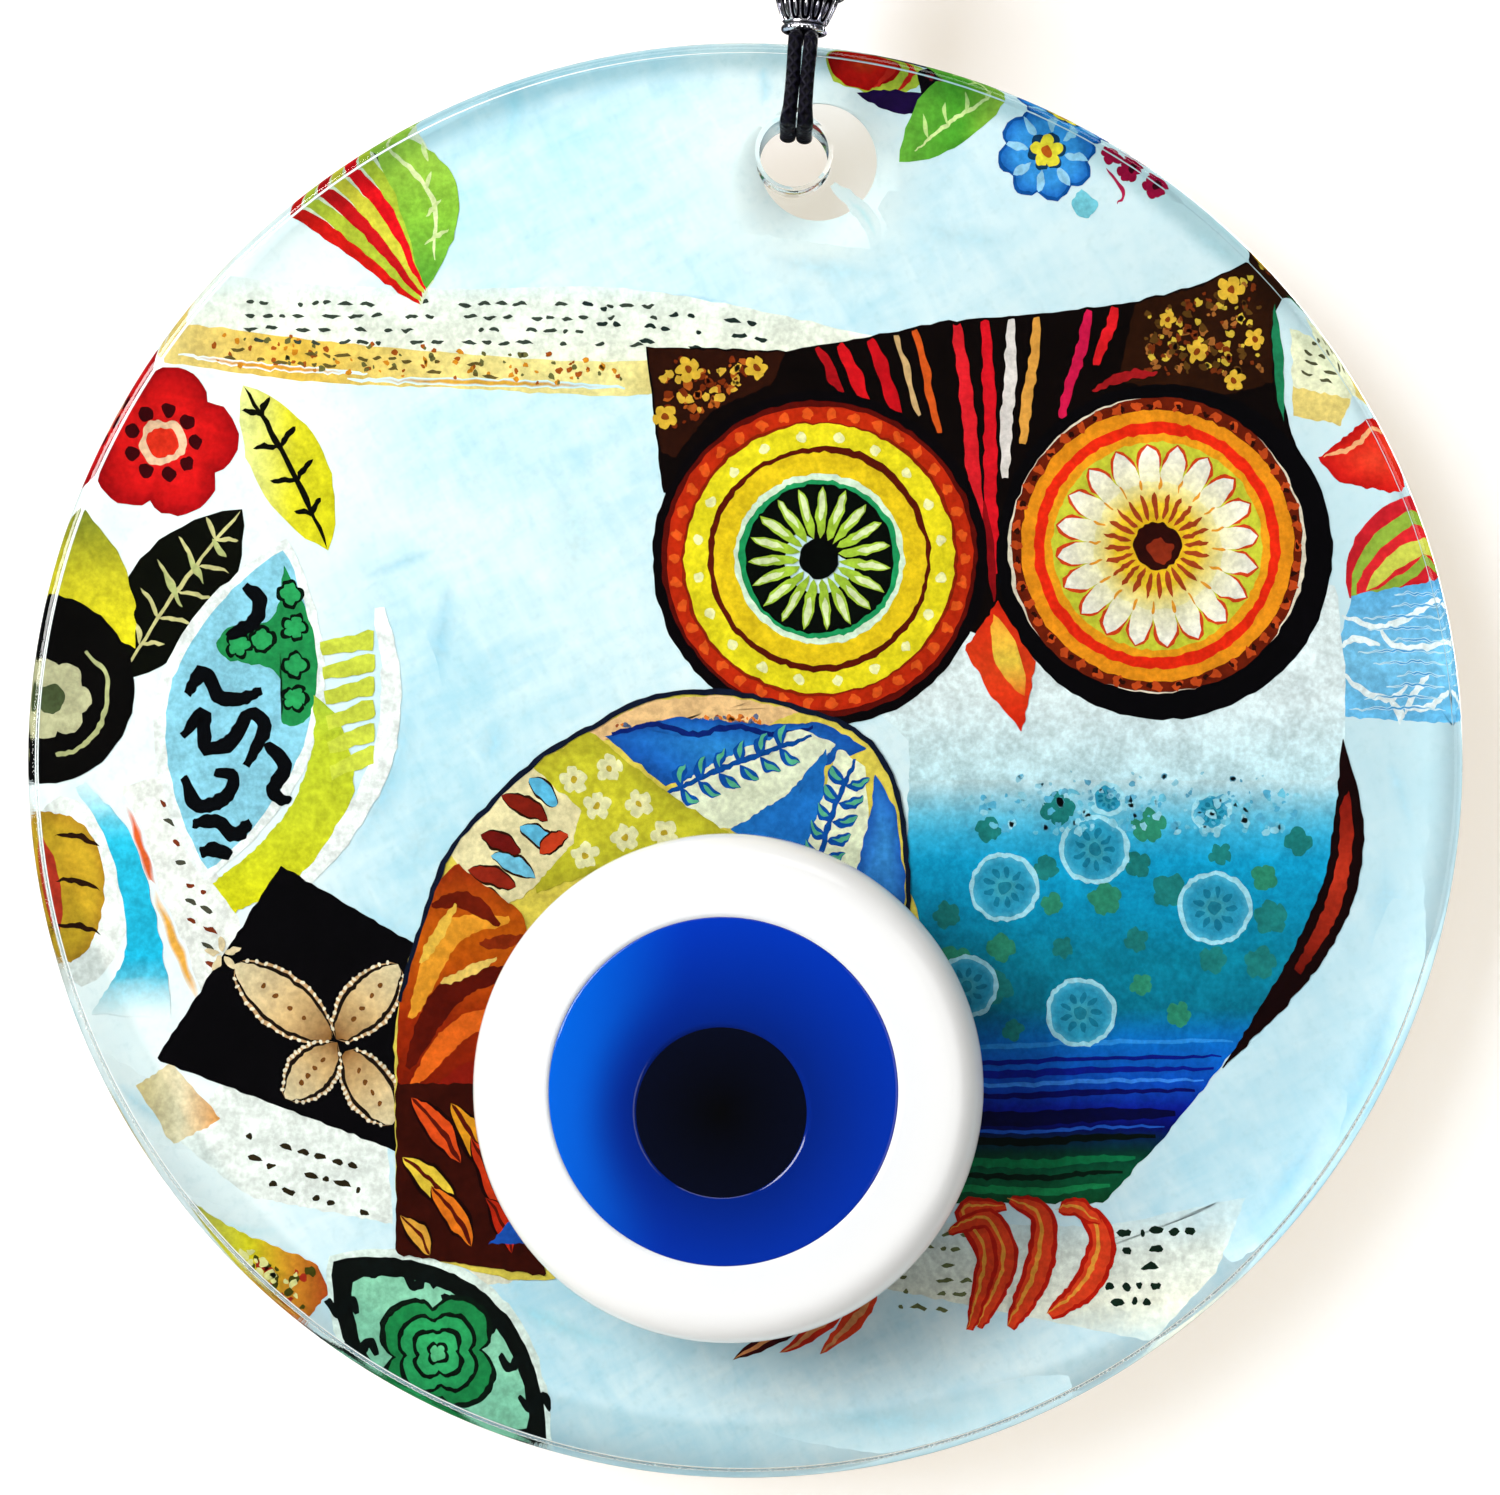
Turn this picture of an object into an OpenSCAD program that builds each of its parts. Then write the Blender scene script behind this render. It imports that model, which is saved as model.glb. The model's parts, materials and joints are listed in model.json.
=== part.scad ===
// Evil eye wall ornament: a thick round glass plaque with a picture behind it, a big glass eye
// glued low on its front, and a doubled cord through a drilled hole, with a bead between two
// fluted caps, a knot and a hanging loop.
// X is right, Y goes into the wall, Z is up. The origin is the inside top of the cord loop,
// where the nail or hook bears, so the whole ornament hangs below it.

/* [Glass disc] */
// Diameter of the glass disc
disc_d = 145; // [100:1:200]
// Thickness of the glass disc
disc_t = 8; // [5:0.5:12]
// Radius of the polished front rim corner
rim_round = 1; // [0.5:0.1:2]
// Radius of the back rim corner, which is only dulled so that the picture reaches the edge
back_round = 0.3; // [0.2:0.1:1.5]
// Diameter of the drilled hole
hole_d = 7; // [6:0.5:9]
// Height of the hole above the centre of the disc
hole_up = 61.6; // [40:0.1:62]
// Chamfer of the hole's two mouths
hole_chamfer = 0.5; // [0.2:0.1:0.8]

/* [Picture] */
// Thickness of the printed film bonded behind the glass
film_t = 0.12; // [0.1:0.01:0.3]
// Thickness of the white coat that seals the film
coat_t = 0.25; // [0.1:0.05:0.5]
// Margin between the picture's edge and the start of the rim's rounding
film_margin = 0.1; // [0.1:0.1:3]
// Diameter of the picture's cut-out round the hole
cut_d = 12; // [10:0.5:14]
// How far the cut-out sits to the right of the hole
cut_right = 2.5; // [0:0.1:3]

/* [Eye bead] */
// Diameter of the white glass pebble
eye_d = 51; // [30:0.5:60]
// Thickness of the white pebble at its flat ledge
eye_t = 6.4; // [4:0.2:9]
// How far the eye sits below the centre of the disc
eye_down = 32.8; // [20:0.1:40]
// How far the eye sits to the right of the centre of the disc
eye_right = 1.1; // [-8:0.1:8]
// Diameter of the cobalt blue drop
iris_d = 34.6; // [20:0.2:40]
// How far the blue drop sits to the left of the middle of the white pebble
iris_left = 0.4; // [0:0.1:2]
// Diameter of the black pupil
pupil_d = 16.8; // [8:0.2:20]
// How far the pupil sits below the middle of the blue drop
pupil_down = 2; // [0:0.1:3]
// Thickness of the clear adhesive behind the eye
glue_t = 0.3; // [0.1:0.1:1]

/* [Cord and beads] */
// Diameter of the cord
cord_d = 1.4; // [1.2:0.1:1.4]
// Diameter of the dark bead
bead_d = 10; // [8:0.5:12]
// Diameter of the hole through the bead and the caps
bore_d = 3.6; // [3.6:0.1:4]
// Diameter of a cap's scalloped rim
cap_d = 8; // [7:0.5:9]
// Height of a cap
cap_h = 4.6; // [4:0.2:6]
// Number of petals round a cap
cap_petals = 12; // [6:1:16]
// Height of the hanging loop above the knot
loop_h = 51.6; // [40:0.1:60]

/* [Hidden] */

$fn = 72;
cord_r = cord_d / 2;
strand_off = 0.72;      // each of the four strands stands this far from the stem axis in X and in Y
knot_r = 3.2;
knot_gap = 0.05;        // the strands stop this far from the knot, which turns between them

// The stem, upwards from the axis of the hole
rim_up = disc_d / 2 - hole_up;
join_up = rim_up + 2.1;                 // the strands over the rim meet the straight strands here
cap_up = rim_up + 1.8;                  // lower end of the lower cap
bead_gap = 0.2;                         // between the bead and the caps' rims
cap_mouth = cap_d / 2 - 0.5;
bead_up = cap_up + cap_h + bead_gap + sqrt(pow(bead_d / 2, 2) - pow(cap_mouth, 2));
knot_up = 2 * bead_up - cap_up + 0.3 + knot_r;
z_hole = -loop_h - knot_r - knot_up;
z_disc = z_hole - hole_up;
z_knot = z_hole + knot_up;

// The hanging loop: half of its route, from the knot up to the top, as [across, height over the knot].
// The top is an arc of loop_r, and the legs come straight down from it and close on the knot.
loop_r = 4;
loop_top = loop_h + knot_r + cord_r;
loop_leg = [[0.75, 1.2], [0.95, 4], [1.4, 7], [2, 11], [2.6, 15], [3.2, 20], [3.7, 26], [4, 32], [4, 38], [4, 44]];

// One side of a strand's way round the glass, as [depth, height over the hole]: down over the rim,
// along the face and into the hole. half is how far that face lies from the middle of the glass,
// and corner is the radius of the rim's corner there.
half_t = disc_t / 2;
wrap = cord_r + 0.2;                    // the cord's middle keeps this far from the glass
function hitch_side(half, corner) = concat(
    [[strand_off, join_up], [strand_off, join_up - 0.25], [strand_off + 0.13, rim_up + wrap + 0.45],
     [strand_off + 0.53, rim_up + wrap + 0.1], [strand_off + 1.2, rim_up + wrap]],
    [for (a = [0 : 15 : 90]) [half - corner + (corner + wrap) * sin(a),
                              rim_up - corner + (corner + wrap) * cos(a)]],
    [for (z = [8.2, 7, 5.8, 4.8]) [half + wrap, z]],
    [[half + 0.8, 3.8], [half + 0.4, 3.05], [half - 0.3, 2.6], [half - 1.4, 2.45], [1.2, 2.45]]);

function unit(v) = v / norm(v);
// The direction of a route at point i
function heading(path, i) =
    unit(path[min(i + 1, len(path) - 1)] - path[max(i - 1, 0)]);
// Two directions square to a route that lies in a plane whose normal is n
function ring(p, t, n, r, sides) =
    let (side = unit(cross(t, n)))
    [for (k = [0 : sides - 1]) p + r * (cos(360 * k / sides) * side + sin(360 * k / sides) * n)];
// A face of the tube's side
function quad(a, b, sides, k) =
    [a * sides + k, a * sides + (k + 1) % sides, b * sides + (k + 1) % sides, b * sides + k];

// A cord along a flat route whose plane has the normal n
module tube(path, n, r, sides = 8) {
    last = len(path) - 1;
    rings = [for (i = [0 : last]) each ring(path[i], heading(path, i), n, r, sides)];
    skin = [for (i = [0 : last - 1]) for (k = [0 : sides - 1]) quad(i, i + 1, sides, k)];
    near_end = [[for (k = [sides - 1 : -1 : 0]) k]];
    far_end = [[for (k = [0 : sides - 1]) last * sides + k]];
    polyhedron(rings, concat(skin, near_end, far_end), convexity = 6);
}

// The disc's own place: local x is right, local y is up and local z comes out of the wall
module at_disc() { translate([0, 0, z_disc]) rotate([90, 0, 0]) children(); }

module at_eye(out = 0) { at_disc() translate([eye_right, -eye_down, half_t + out]) children(); }

function arc(x, y, rx, ry, from, to, steps = 8) =
    [for (i = [0 : steps]) let (a = from + (to - from) * i / steps) [x + rx * cos(a), y + ry * sin(a)]];

// ---- The plaque

module glass_disc() {
    color("lightcyan", 0.6) at_disc() difference() {
        rotate_extrude($fn = 144) polygon(concat(
            [[0, -half_t]],
            arc(disc_d / 2 - back_round, -half_t + back_round, back_round, back_round, -90, 0),
            arc(disc_d / 2 - rim_round, half_t - rim_round, rim_round, rim_round, 0, 90),
            [[0, half_t]]));
        translate([0, hole_up, 0]) {
            cylinder(h = disc_t + 2, d = hole_d, center = true);
            for (side = [-1, 1]) rotate([side * 90 - 90, 0, 0])
                translate([0, 0, half_t - hole_chamfer])
                    cylinder(h = hole_chamfer * 2, d1 = hole_d, d2 = hole_d + 4 * hole_chamfer);
        }
    }
}

// A thin round layer behind the glass, cut out a little wider than the hole and off to one side
module layer(depth, thickness) {
    at_disc() translate([0, 0, -half_t - depth - thickness]) difference() {
        cylinder(h = thickness, d = disc_d - 2 * film_margin - 2 * back_round, $fn = 144);
        translate([cut_right, hole_up, -1]) cylinder(h = thickness + 2, d = cut_d);
    }
}

module print_film() { color("paleturquoise") layer(0, film_t); }

module back_coat() { color("white") layer(film_t, coat_t); }

// ---- The eye, a pile of fused glass: white pebble, blue drop, black pupil

iris_in = 1.8;          // how deep the blue drop is let into the white
iris_rise = 0.8;        // how far its middle stands over its edge
pupil_in = 1;           // how deep the pupil is let into the blue
fuse_gap = 0.02;        // keeps each drop off the wall that it is let into

module eye_glue() {
    color("whitesmoke") at_eye() cylinder(h = glue_t, d = eye_d - 5);
}

module eye_white() {
    r = eye_d / 2;
    color("ghostwhite") at_eye(glue_t) difference() {
        rotate_extrude($fn = 120) polygon(concat(
            [[0, 0]],
            arc(r - 1.2, 1.2, 1.2, 1.2, -90, 0),
            arc(r - 3.6, 2.6, 3.6, eye_t - 2.6, 0, 90),
            [[0, eye_t]]));
        translate([-iris_left, 0, eye_t - iris_in]) cylinder(h = 2 * iris_in, d = iris_d, $fn = 96);
    }
}

module eye_blue() {
    r = iris_d / 2 - fuse_gap;
    color("mediumblue") at_eye(glue_t + eye_t) translate([-iris_left, 0, 0]) difference() {
        rotate_extrude($fn = 96) polygon(concat(
            [[0, -iris_in], [r, -iris_in], [r, 0]], arc(0, 0, r, iris_rise, 6, 90, 12)));
        translate([0, -pupil_down, iris_rise - pupil_in]) cylinder(h = 2 * pupil_in, d = pupil_d);
    }
}

module eye_pupil() {
    r = pupil_d / 2 - fuse_gap;
    color("black") at_eye(glue_t + eye_t + iris_rise) translate([-iris_left, -pupil_down, 0])
        rotate_extrude() polygon(concat([[0, -pupil_in], [r, -pupil_in], [r, 0]], arc(0, 0, r, 0.5, 10, 90, 10)));
}

// ---- The cord round the glass

// One strand, side -1 for left and 1 for right, from the stem round the glass and back
module hitch_cord(side) {
    front = hitch_side(half_t, rim_round);
    back = hitch_side(half_t + film_t + coat_t, back_round);
    path = concat([for (p = front) [side * strand_off, -p[0], z_hole + p[1]]],
                  [for (i = [len(back) - 1 : -1 : 0]) [side * strand_off, back[i][0], z_hole + back[i][1]]]);
    color("midnightblue") tube(path, [1, 0, 0], cord_r);
}

module hitch_cord_left() { hitch_cord(-1); }

module hitch_cord_right() { hitch_cord(1); }

// Four straight strands through the caps and the bead, rounded off where the knot turns
module stem_cords() {
    color("midnightblue") difference() {
        for (x = [-1, 1]) for (y = [-1, 1])
            translate([x * strand_off, y * strand_off, z_hole + join_up])
                cylinder(h = knot_up - join_up, r = cord_r - 0.01, $fn = 24);
        translate([0, 0, z_knot]) sphere(r = knot_r + knot_gap);
    }
}

// ---- The caps and the bead

// A fluted cup with a scalloped rim; up is 1 for the cup that opens upwards
module cap(up, z) {
    r = cap_d / 2;
    neck = bore_d / 2 + 0.5;
    translate([0, 0, z]) rotate([up > 0 ? 0 : 180, 0, 0]) difference() {
        rotate_extrude($fn = 96) polygon([
            [bore_d / 2, 0], [neck, 0], [neck + 0.15, 0.5], [neck, 0.9], [neck + 0.5, 1.4],
            [r - 0.8, 2.4], [r - 0.35, 3.6], [r, cap_h], [cap_mouth, cap_h], [r - 0.85, 3.6],
            [r - 1.2, 2.9], [bore_d / 2, 1.7]]);
        // the notches between the petals
        for (i = [0 : cap_petals - 1]) rotate(360 * (i + 0.5) / cap_petals)
            translate([r - 1.2, 0, cap_h]) rotate([0, 90, 0]) cylinder(h = 2, d = 0.9, $fn = 16);
    }
}

module lower_cap() { color("silver") cap(1, z_hole + cap_up); }

module upper_cap() { color("silver") cap(-1, z_hole + 2 * bead_up - cap_up); }

module bead() {
    color("indigo") translate([0, 0, z_hole + bead_up]) difference() {
        sphere(d = bead_d, $fn = 72);
        cylinder(h = bead_d + 2, d = bore_d, center = true);
    }
}

// ---- The knot and the loop

module knot() { color("midnightblue") translate([0, 0, z_knot]) sphere(r = knot_r); }

// The two cut ends of the cord, which stick out of the knot towards the front
module knot_tails() {
    for (side = [-1, 1]) {
        out = unit([side * 0.8, -0.9, 0.6]);
        path = [for (s = [knot_r - 0.25, 4.8, 6.6, 8.5]) [0, 0, z_knot] + s * out - [0, 0, 0.03 * s * s]];
        color("midnightblue") difference() {
            tube(path, unit(cross(out, [0, 0, 1])), cord_r);
            translate([0, 0, z_knot]) sphere(r = knot_r, $fn = 48);
        }
    }
}

module hanging_loop() {
    top = [for (a = [0 : 15 : 180]) [loop_r * cos(a), 0, loop_top - loop_r + loop_r * sin(a)]];
    leg = [for (p = loop_leg) [p[0], 0, p[1]]];
    back = [for (i = [len(leg) - 1 : -1 : 0]) [-leg[i][0], 0, leg[i][2]]];
    path = [for (p = concat(leg, top, back)) p + [0, 0, z_knot]];
    color("midnightblue") difference() {
        tube(path, [0, 1, 0], cord_r);
        translate([0, 0, z_knot]) sphere(r = knot_r + knot_gap, $fn = 48);
    }
}

glass_disc();
print_film();
back_coat();
eye_glue();
eye_white();
eye_blue();
eye_pupil();
hitch_cord_left();
hitch_cord_right();
lower_cap();
bead();
upper_cap();
stem_cords();
knot();
knot_tails();
hanging_loop();
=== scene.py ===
# %% [markdown]
# # Evil eye wall ornament
# A thick round glass plaque hangs from a doubled cord. A picture is bonded behind the glass, and
# a big glass eye is glued to its front. This notebook builds the looks of each piece round the
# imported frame: Z is up, the wall is towards +Y, and the origin is where the nail holds the loop.

import json
import math

import bmesh
import bpy
import numpy as np
from mathutils import Matrix, Vector


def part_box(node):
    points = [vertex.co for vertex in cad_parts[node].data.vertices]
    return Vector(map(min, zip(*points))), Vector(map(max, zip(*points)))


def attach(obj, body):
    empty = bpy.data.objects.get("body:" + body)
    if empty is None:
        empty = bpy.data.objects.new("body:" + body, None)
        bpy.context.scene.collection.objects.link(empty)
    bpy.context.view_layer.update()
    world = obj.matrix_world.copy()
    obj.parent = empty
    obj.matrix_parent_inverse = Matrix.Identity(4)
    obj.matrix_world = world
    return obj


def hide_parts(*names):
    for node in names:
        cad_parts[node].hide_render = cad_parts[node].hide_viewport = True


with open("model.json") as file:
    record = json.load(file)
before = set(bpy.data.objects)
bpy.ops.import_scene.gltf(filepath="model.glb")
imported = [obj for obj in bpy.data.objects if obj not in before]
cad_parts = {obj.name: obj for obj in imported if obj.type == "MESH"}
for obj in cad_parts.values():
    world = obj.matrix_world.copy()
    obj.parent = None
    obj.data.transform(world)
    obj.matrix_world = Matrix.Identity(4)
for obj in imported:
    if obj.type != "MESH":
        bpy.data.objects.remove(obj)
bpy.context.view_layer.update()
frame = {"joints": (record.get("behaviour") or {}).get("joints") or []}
MM = 0.001

disc_low, disc_high = (np.array(corner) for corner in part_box("glass_disc"))
RIM = (disc_high[0] - disc_low[0]) / 2
CENTRE = (disc_low + disc_high) / 2
FRONT, BACK = disc_low[1], disc_high[1]
joints = {joint["name"]: joint for joint in frame["joints"]}
HOLE_Z = joints["disc_rock"]["pos_m"][2]
KNOT_Z = joints["loop_sway"]["pos_m"][2]
TILT = math.radians(4.7)
print(f"disc {2000 * RIM:.1f} mm across, centre z {1000 * CENTRE[2]:.1f} mm, hole z {1000 * HOLE_Z:.1f} mm")

# %% [markdown]
# ## The camera
# The plaque is looked at squarely, from about 35 cm. The camera aims at a point just above the
# middle, and it is rolled a few degrees, because the plaque hangs a little askew of the picture
# that is printed on it.

# %% Camera
DISTANCE = 350 * MM
AZIMUTH = math.radians(0.5)
aim = np.array([0.5 * MM, FRONT, CENTRE[2] + 1.35 * MM])
eye = aim + DISTANCE * np.array([math.sin(AZIMUTH), -math.cos(AZIMUTH), 0])
camera_data = bpy.data.cameras.new("camera")
camera = bpy.data.objects.new("camera", camera_data)
bpy.context.scene.collection.objects.link(camera)
backwards = Vector(eye - aim).normalized()
upwards = Vector((-math.sin(TILT), 0, math.cos(TILT)))
rightwards = upwards.cross(backwards).normalized()
upwards = backwards.cross(rightwards)
camera.matrix_world = Matrix.Translation(eye) @ Matrix((rightwards, upwards, backwards)).transposed().to_4x4()
FRAME_WIDTH = 151.2 * MM
camera_data.sensor_width = 36
camera_data.lens = camera_data.sensor_width * DISTANCE * math.cos(AZIMUTH) / FRAME_WIDTH
camera_data.clip_start = 0.01
bpy.context.scene.camera = camera
bpy.context.scene.view_settings.view_transform = "Standard"
print(f"lens {camera_data.lens:.1f} mm at {1000 * DISTANCE:.0f} mm")

# %% [markdown]
# ## Helpers for surfaces
# Every new piece is a grid of points worked out by a formula. One helper puts such a grid into a
# mesh, and one carries a ring along a path, which is how all the cord is made.

# %% Grids to meshes


def grid_faces(rows, columns, wrap_rows=False, wrap_columns=False, start=0):
    """Quads between neighbours of a rows x columns grid of points numbered row by row; a wrap joins the last to the first."""
    i = np.arange(rows if wrap_rows else rows - 1)[:, None]
    j = np.arange(columns if wrap_columns else columns - 1)[None, :]
    below, beside = (i + 1) % rows, (j + 1) % columns
    corners = [i * columns + j, i * columns + beside, below * columns + beside, below * columns + j]
    return start + np.stack([np.broadcast_to(c, (i.size, j.size)) for c in corners], -1).reshape(-1, 4)


def make_mesh(name, points, faces, material, uv=None, smooth=True):
    """A mesh object from an (n, 3) array of points and an (m, 4) array of quads, with a (u, v) for each point if
    uv is given. Points that fall on one another, as at a pole, are welded."""
    mesh = bpy.data.meshes.new(name)
    mesh.from_pydata(points.reshape(-1, 3), [], faces)
    if uv is not None:
        corners = np.empty(len(mesh.loops), np.int64)
        mesh.loops.foreach_get("vertex_index", corners)
        layer = mesh.uv_layers.new(name="UVMap")
        layer.data.foreach_set("uv", uv.reshape(-1, 2)[corners].astype(np.float32).ravel())
    shell = bmesh.new()
    shell.from_mesh(mesh)
    bmesh.ops.remove_doubles(shell, verts=shell.verts, dist=2e-7)
    shell.to_mesh(mesh)
    shell.free()
    mesh.polygons.foreach_set("use_smooth", np.full(len(mesh.polygons), smooth))
    mesh.update()
    mesh.materials.append(material)
    piece = bpy.data.objects.new(name, mesh)
    bpy.context.scene.collection.objects.link(piece)
    return piece


def through(points, count):
    """A Catmull-Rom curve through the points, cut at equal steps of its parameter into count points: each span is
    the cubic whose slope at a point is half the way from its last neighbour to its next."""
    p = np.asarray(points, float)
    p = np.vstack([2 * p[0] - p[1], p, 2 * p[-1] - p[-2]])
    at = np.linspace(0, len(p) - 3 - 1e-9, count)
    k = at.astype(int)
    t = (at - k)[:, None]
    a, b, c, d = p[k], p[k + 1], p[k + 2], p[k + 3]
    return b + t / 2 * (c - a + t * (2 * a - 5 * b + 4 * c - d + t * (3 * (b - c) + d - a)))


def even(path, count):
    """The path cut again at equal lengths, by linear interpolation along its running length."""
    run = np.append(0, np.cumsum(np.linalg.norm(np.diff(path, axis=0), axis=1)))
    at = np.linspace(0, run[-1], count)
    return np.stack([np.interp(at, run, path[:, k]) for k in range(path.shape[1])], -1)


def unit(vectors):
    return vectors / np.maximum(np.linalg.norm(vectors, axis=-1, keepdims=True), 1e-12)


def tube(path, radius, across, sides=14, flat=0.0):
    """Rings round a path: point + radius (cos a, sin a) on two directions square to the path, the first nearest to
    across. The ends close in a dome of three smaller rings. flat widens the ring in the first direction and thins
    it in the other. Returns points, faces, and u along and v round the tube, in metres."""
    tangent = unit(np.gradient(path, axis=0))
    side = unit(across - (across * tangent).sum(-1, keepdims=True) * tangent)
    other = np.cross(tangent, side)
    radius = np.broadcast_to(np.asarray(radius, float), len(path)).copy()
    dome = np.radians([90, 60, 30])
    ends = [(path[0] - tangent[0] * radius[0] * np.sin(a), 0, np.cos(a)) for a in dome]
    ends += [(path[-1] + tangent[-1] * radius[-1] * np.sin(a), -1, np.cos(a)) for a in dome[::-1]]
    centres = np.vstack([[e[0] for e in ends[:3]], path, [e[0] for e in ends[3:]]])
    pick = np.r_[[0] * 3, np.arange(len(path)), [len(path) - 1] * 3]
    size = radius[pick] * np.r_[np.cos(dome), np.ones(len(path)), np.cos(dome[::-1])]
    a = np.linspace(0, 2 * np.pi, sides + 1)[None, :, None]
    flat = np.broadcast_to(flat, len(path))[pick][:, None, None]
    ring = (1 + flat) * np.cos(a) * side[pick][:, None] + (1 - flat) * np.sin(a) * other[pick][:, None]
    points = centres[:, None] + size[:, None, None] * ring
    run = np.append(0, np.cumsum(np.linalg.norm(np.diff(centres, axis=0), axis=1)))
    uv = np.stack(np.broadcast_arrays(run[:, None], a[..., 0] / (2 * np.pi)), -1).reshape(-1, 2)
    return points.reshape(-1, 3), grid_faces(len(centres), sides + 1), uv


# %% [markdown]
# ## Helpers for materials
# A material is a small tree of nodes. One helper adds a node and wires or sets its sockets by
# name, so that each material below reads as a short recipe.

# %% Nodes


def linear(text):
    """(r, g, b) in linear light from an sRGB colour such as "#c4f0fc"."""
    part = np.array([int(text[i : i + 2], 16) for i in (1, 3, 5)]) / 255
    return np.where(part <= 0.04045, part / 12.92, ((part + 0.055) / 1.055) ** 2.4)


def colour(text):
    return (*linear(text), 1.0)


def add(tree, kind, settings=None, **inputs):
    """Adds a node. settings are its own properties; inputs are sockets by name, or _N for the socket numbered N, each given a value or another node's socket."""
    made = tree.nodes.new("ShaderNode" + kind)
    for key, value in (settings or {}).items():
        setattr(made, key, value)
    for key, value in inputs.items():
        socket = made.inputs[int(key[1:])] if key[0] == "_" else made.inputs[key.replace("_", " ")]
        if isinstance(value, bpy.types.NodeSocket):
            tree.links.new(value, socket)
        else:
            socket.default_value = value
    return made


def maths(tree, operation, a, b=0.0, clamp=False):
    return add(tree, "Math", {"operation": operation, "use_clamp": clamp}, _0=a, _1=b).outputs[0]


def blend_colours(tree, share, a, b, how="MIX"):
    return add(tree, "Mix", {"data_type": "RGBA", "blend_type": how}, _0=share, _6=a, _7=b).outputs[2]


def spread(tree, value, low, high, to_low=0.0, to_high=1.0):
    """value moved smoothly from low..high to to_low..to_high."""
    return add(tree, "MapRange", {"interpolation_type": "SMOOTHSTEP"}, _0=value, _1=low, _2=high, _3=to_low, _4=to_high).outputs[0]


def object_place(tree, scale=(1, 1, 1), turn=(0, 0, 0)):
    """The point on the piece in its own frame, scaled and turned."""
    place = add(tree, "TexCoord").outputs["Object"]
    return add(tree, "Mapping", Vector=place, Scale=scale, Rotation=turn).outputs[0]


def noise(tree, vector, scale, detail=2.0, rough=0.5, warp=0.0):
    return add(tree, "TexNoise", Vector=vector, Scale=scale, Detail=detail, Roughness=rough, Distortion=warp).outputs[0]


def bump(tree, height, strength, distance):
    return add(tree, "Bump", Height=height, Strength=strength, Distance=distance).outputs[0]


def new_material(name, **values):
    """A material with one Principled BSDF, its tree, and that shader."""
    made = bpy.data.materials.new(name)
    made.use_nodes = True
    shader = made.node_tree.nodes["Principled BSDF"]
    for key, value in values.items():
        shader.inputs[key.replace("_", " ")].default_value = value
    return made, made.node_tree, shader


def new_group(name, inputs, outputs):
    """An empty shader group; inputs and outputs are {name: (socket kind, default)}."""
    made = bpy.data.node_groups.new(name, "ShaderNodeTree")
    for side, sockets in (("INPUT", inputs), ("OUTPUT", outputs)):
        for label, (kind, default) in sockets.items():
            socket = made.interface.new_socket(label, in_out=side, socket_type="NodeSocket" + kind)
            if default is not None:
                socket.default_value = default
    return made, made.nodes.new("NodeGroupInput"), made.nodes.new("NodeGroupOutput")


def place_group(tree, group, **inputs):
    made = tree.nodes.new("ShaderNodeGroup")
    made.node_tree = group
    for key, value in inputs.items():
        socket = made.inputs[key.replace("_", " ")]
        if isinstance(value, bpy.types.NodeSocket):
            tree.links.new(value, socket)
        else:
            socket.default_value = value
    return made


# %% [markdown]
# ## The cord
# The cord is a waxed, round-braided line 1.4 mm thick. Its braid is too fine to model yarn by
# yarn, so the tube carries its own map, and the crossing yarns are two slanted waves on that map
# that drive both the bump and a faint change of colour.

# %% Cord material
CORD_D = 1.4 * MM
CORD_R = CORD_D / 2


def cord_material():
    material, tree, shader = new_material("waxed_cord", Specular_IOR_Level=0.16)
    along, round_it = (add(tree, "SeparateXYZ", Vector=add(tree, "UVMap").outputs[0]).outputs[k] for k in (0, 1))
    pitch = 2 * np.pi / (2.2 * MM)
    turns = 2 * np.pi * 4
    yarns = []
    for way in (1, -1):
        phase = maths(tree, "ADD", maths(tree, "MULTIPLY", along, pitch * 2), maths(tree, "MULTIPLY", round_it, way * turns))
        yarns.append(maths(tree, "SINE", phase))
    braid = maths(tree, "MAXIMUM", *yarns)
    fuzz = noise(tree, object_place(tree, (1, 1, 0.35)), 2600, 3, 0.6)
    wax = noise(tree, object_place(tree), 420, 2, 0.5)
    tone = spread(tree, maths(tree, "ADD", braid, maths(tree, "MULTIPLY", fuzz, 0.8)), 0.2, 1.6)
    tree.links.new(blend_colours(tree, tone, colour("#020107"), colour("#0d0a1c")), shader.inputs["Base Color"])
    tree.links.new(spread(tree, wax, 0.35, 0.7, 0.42, 0.7), shader.inputs["Roughness"])
    height = maths(tree, "ADD", braid, maths(tree, "MULTIPLY", fuzz, 0.7))
    tree.links.new(bump(tree, height, 0.85, 0.09 * MM), shader.inputs["Normal"])
    return material


cord_look = cord_material()

# %% [markdown]
# ## The hanging loop
# One limp cord, doubled. Its fold is the loop that goes over the nail: the legs leave the knot
# close together and open to the width of the nail. It hangs straight, because the plaque pulls
# on it. The route repeats the frame's own points, and a smooth curve goes through them.

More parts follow.
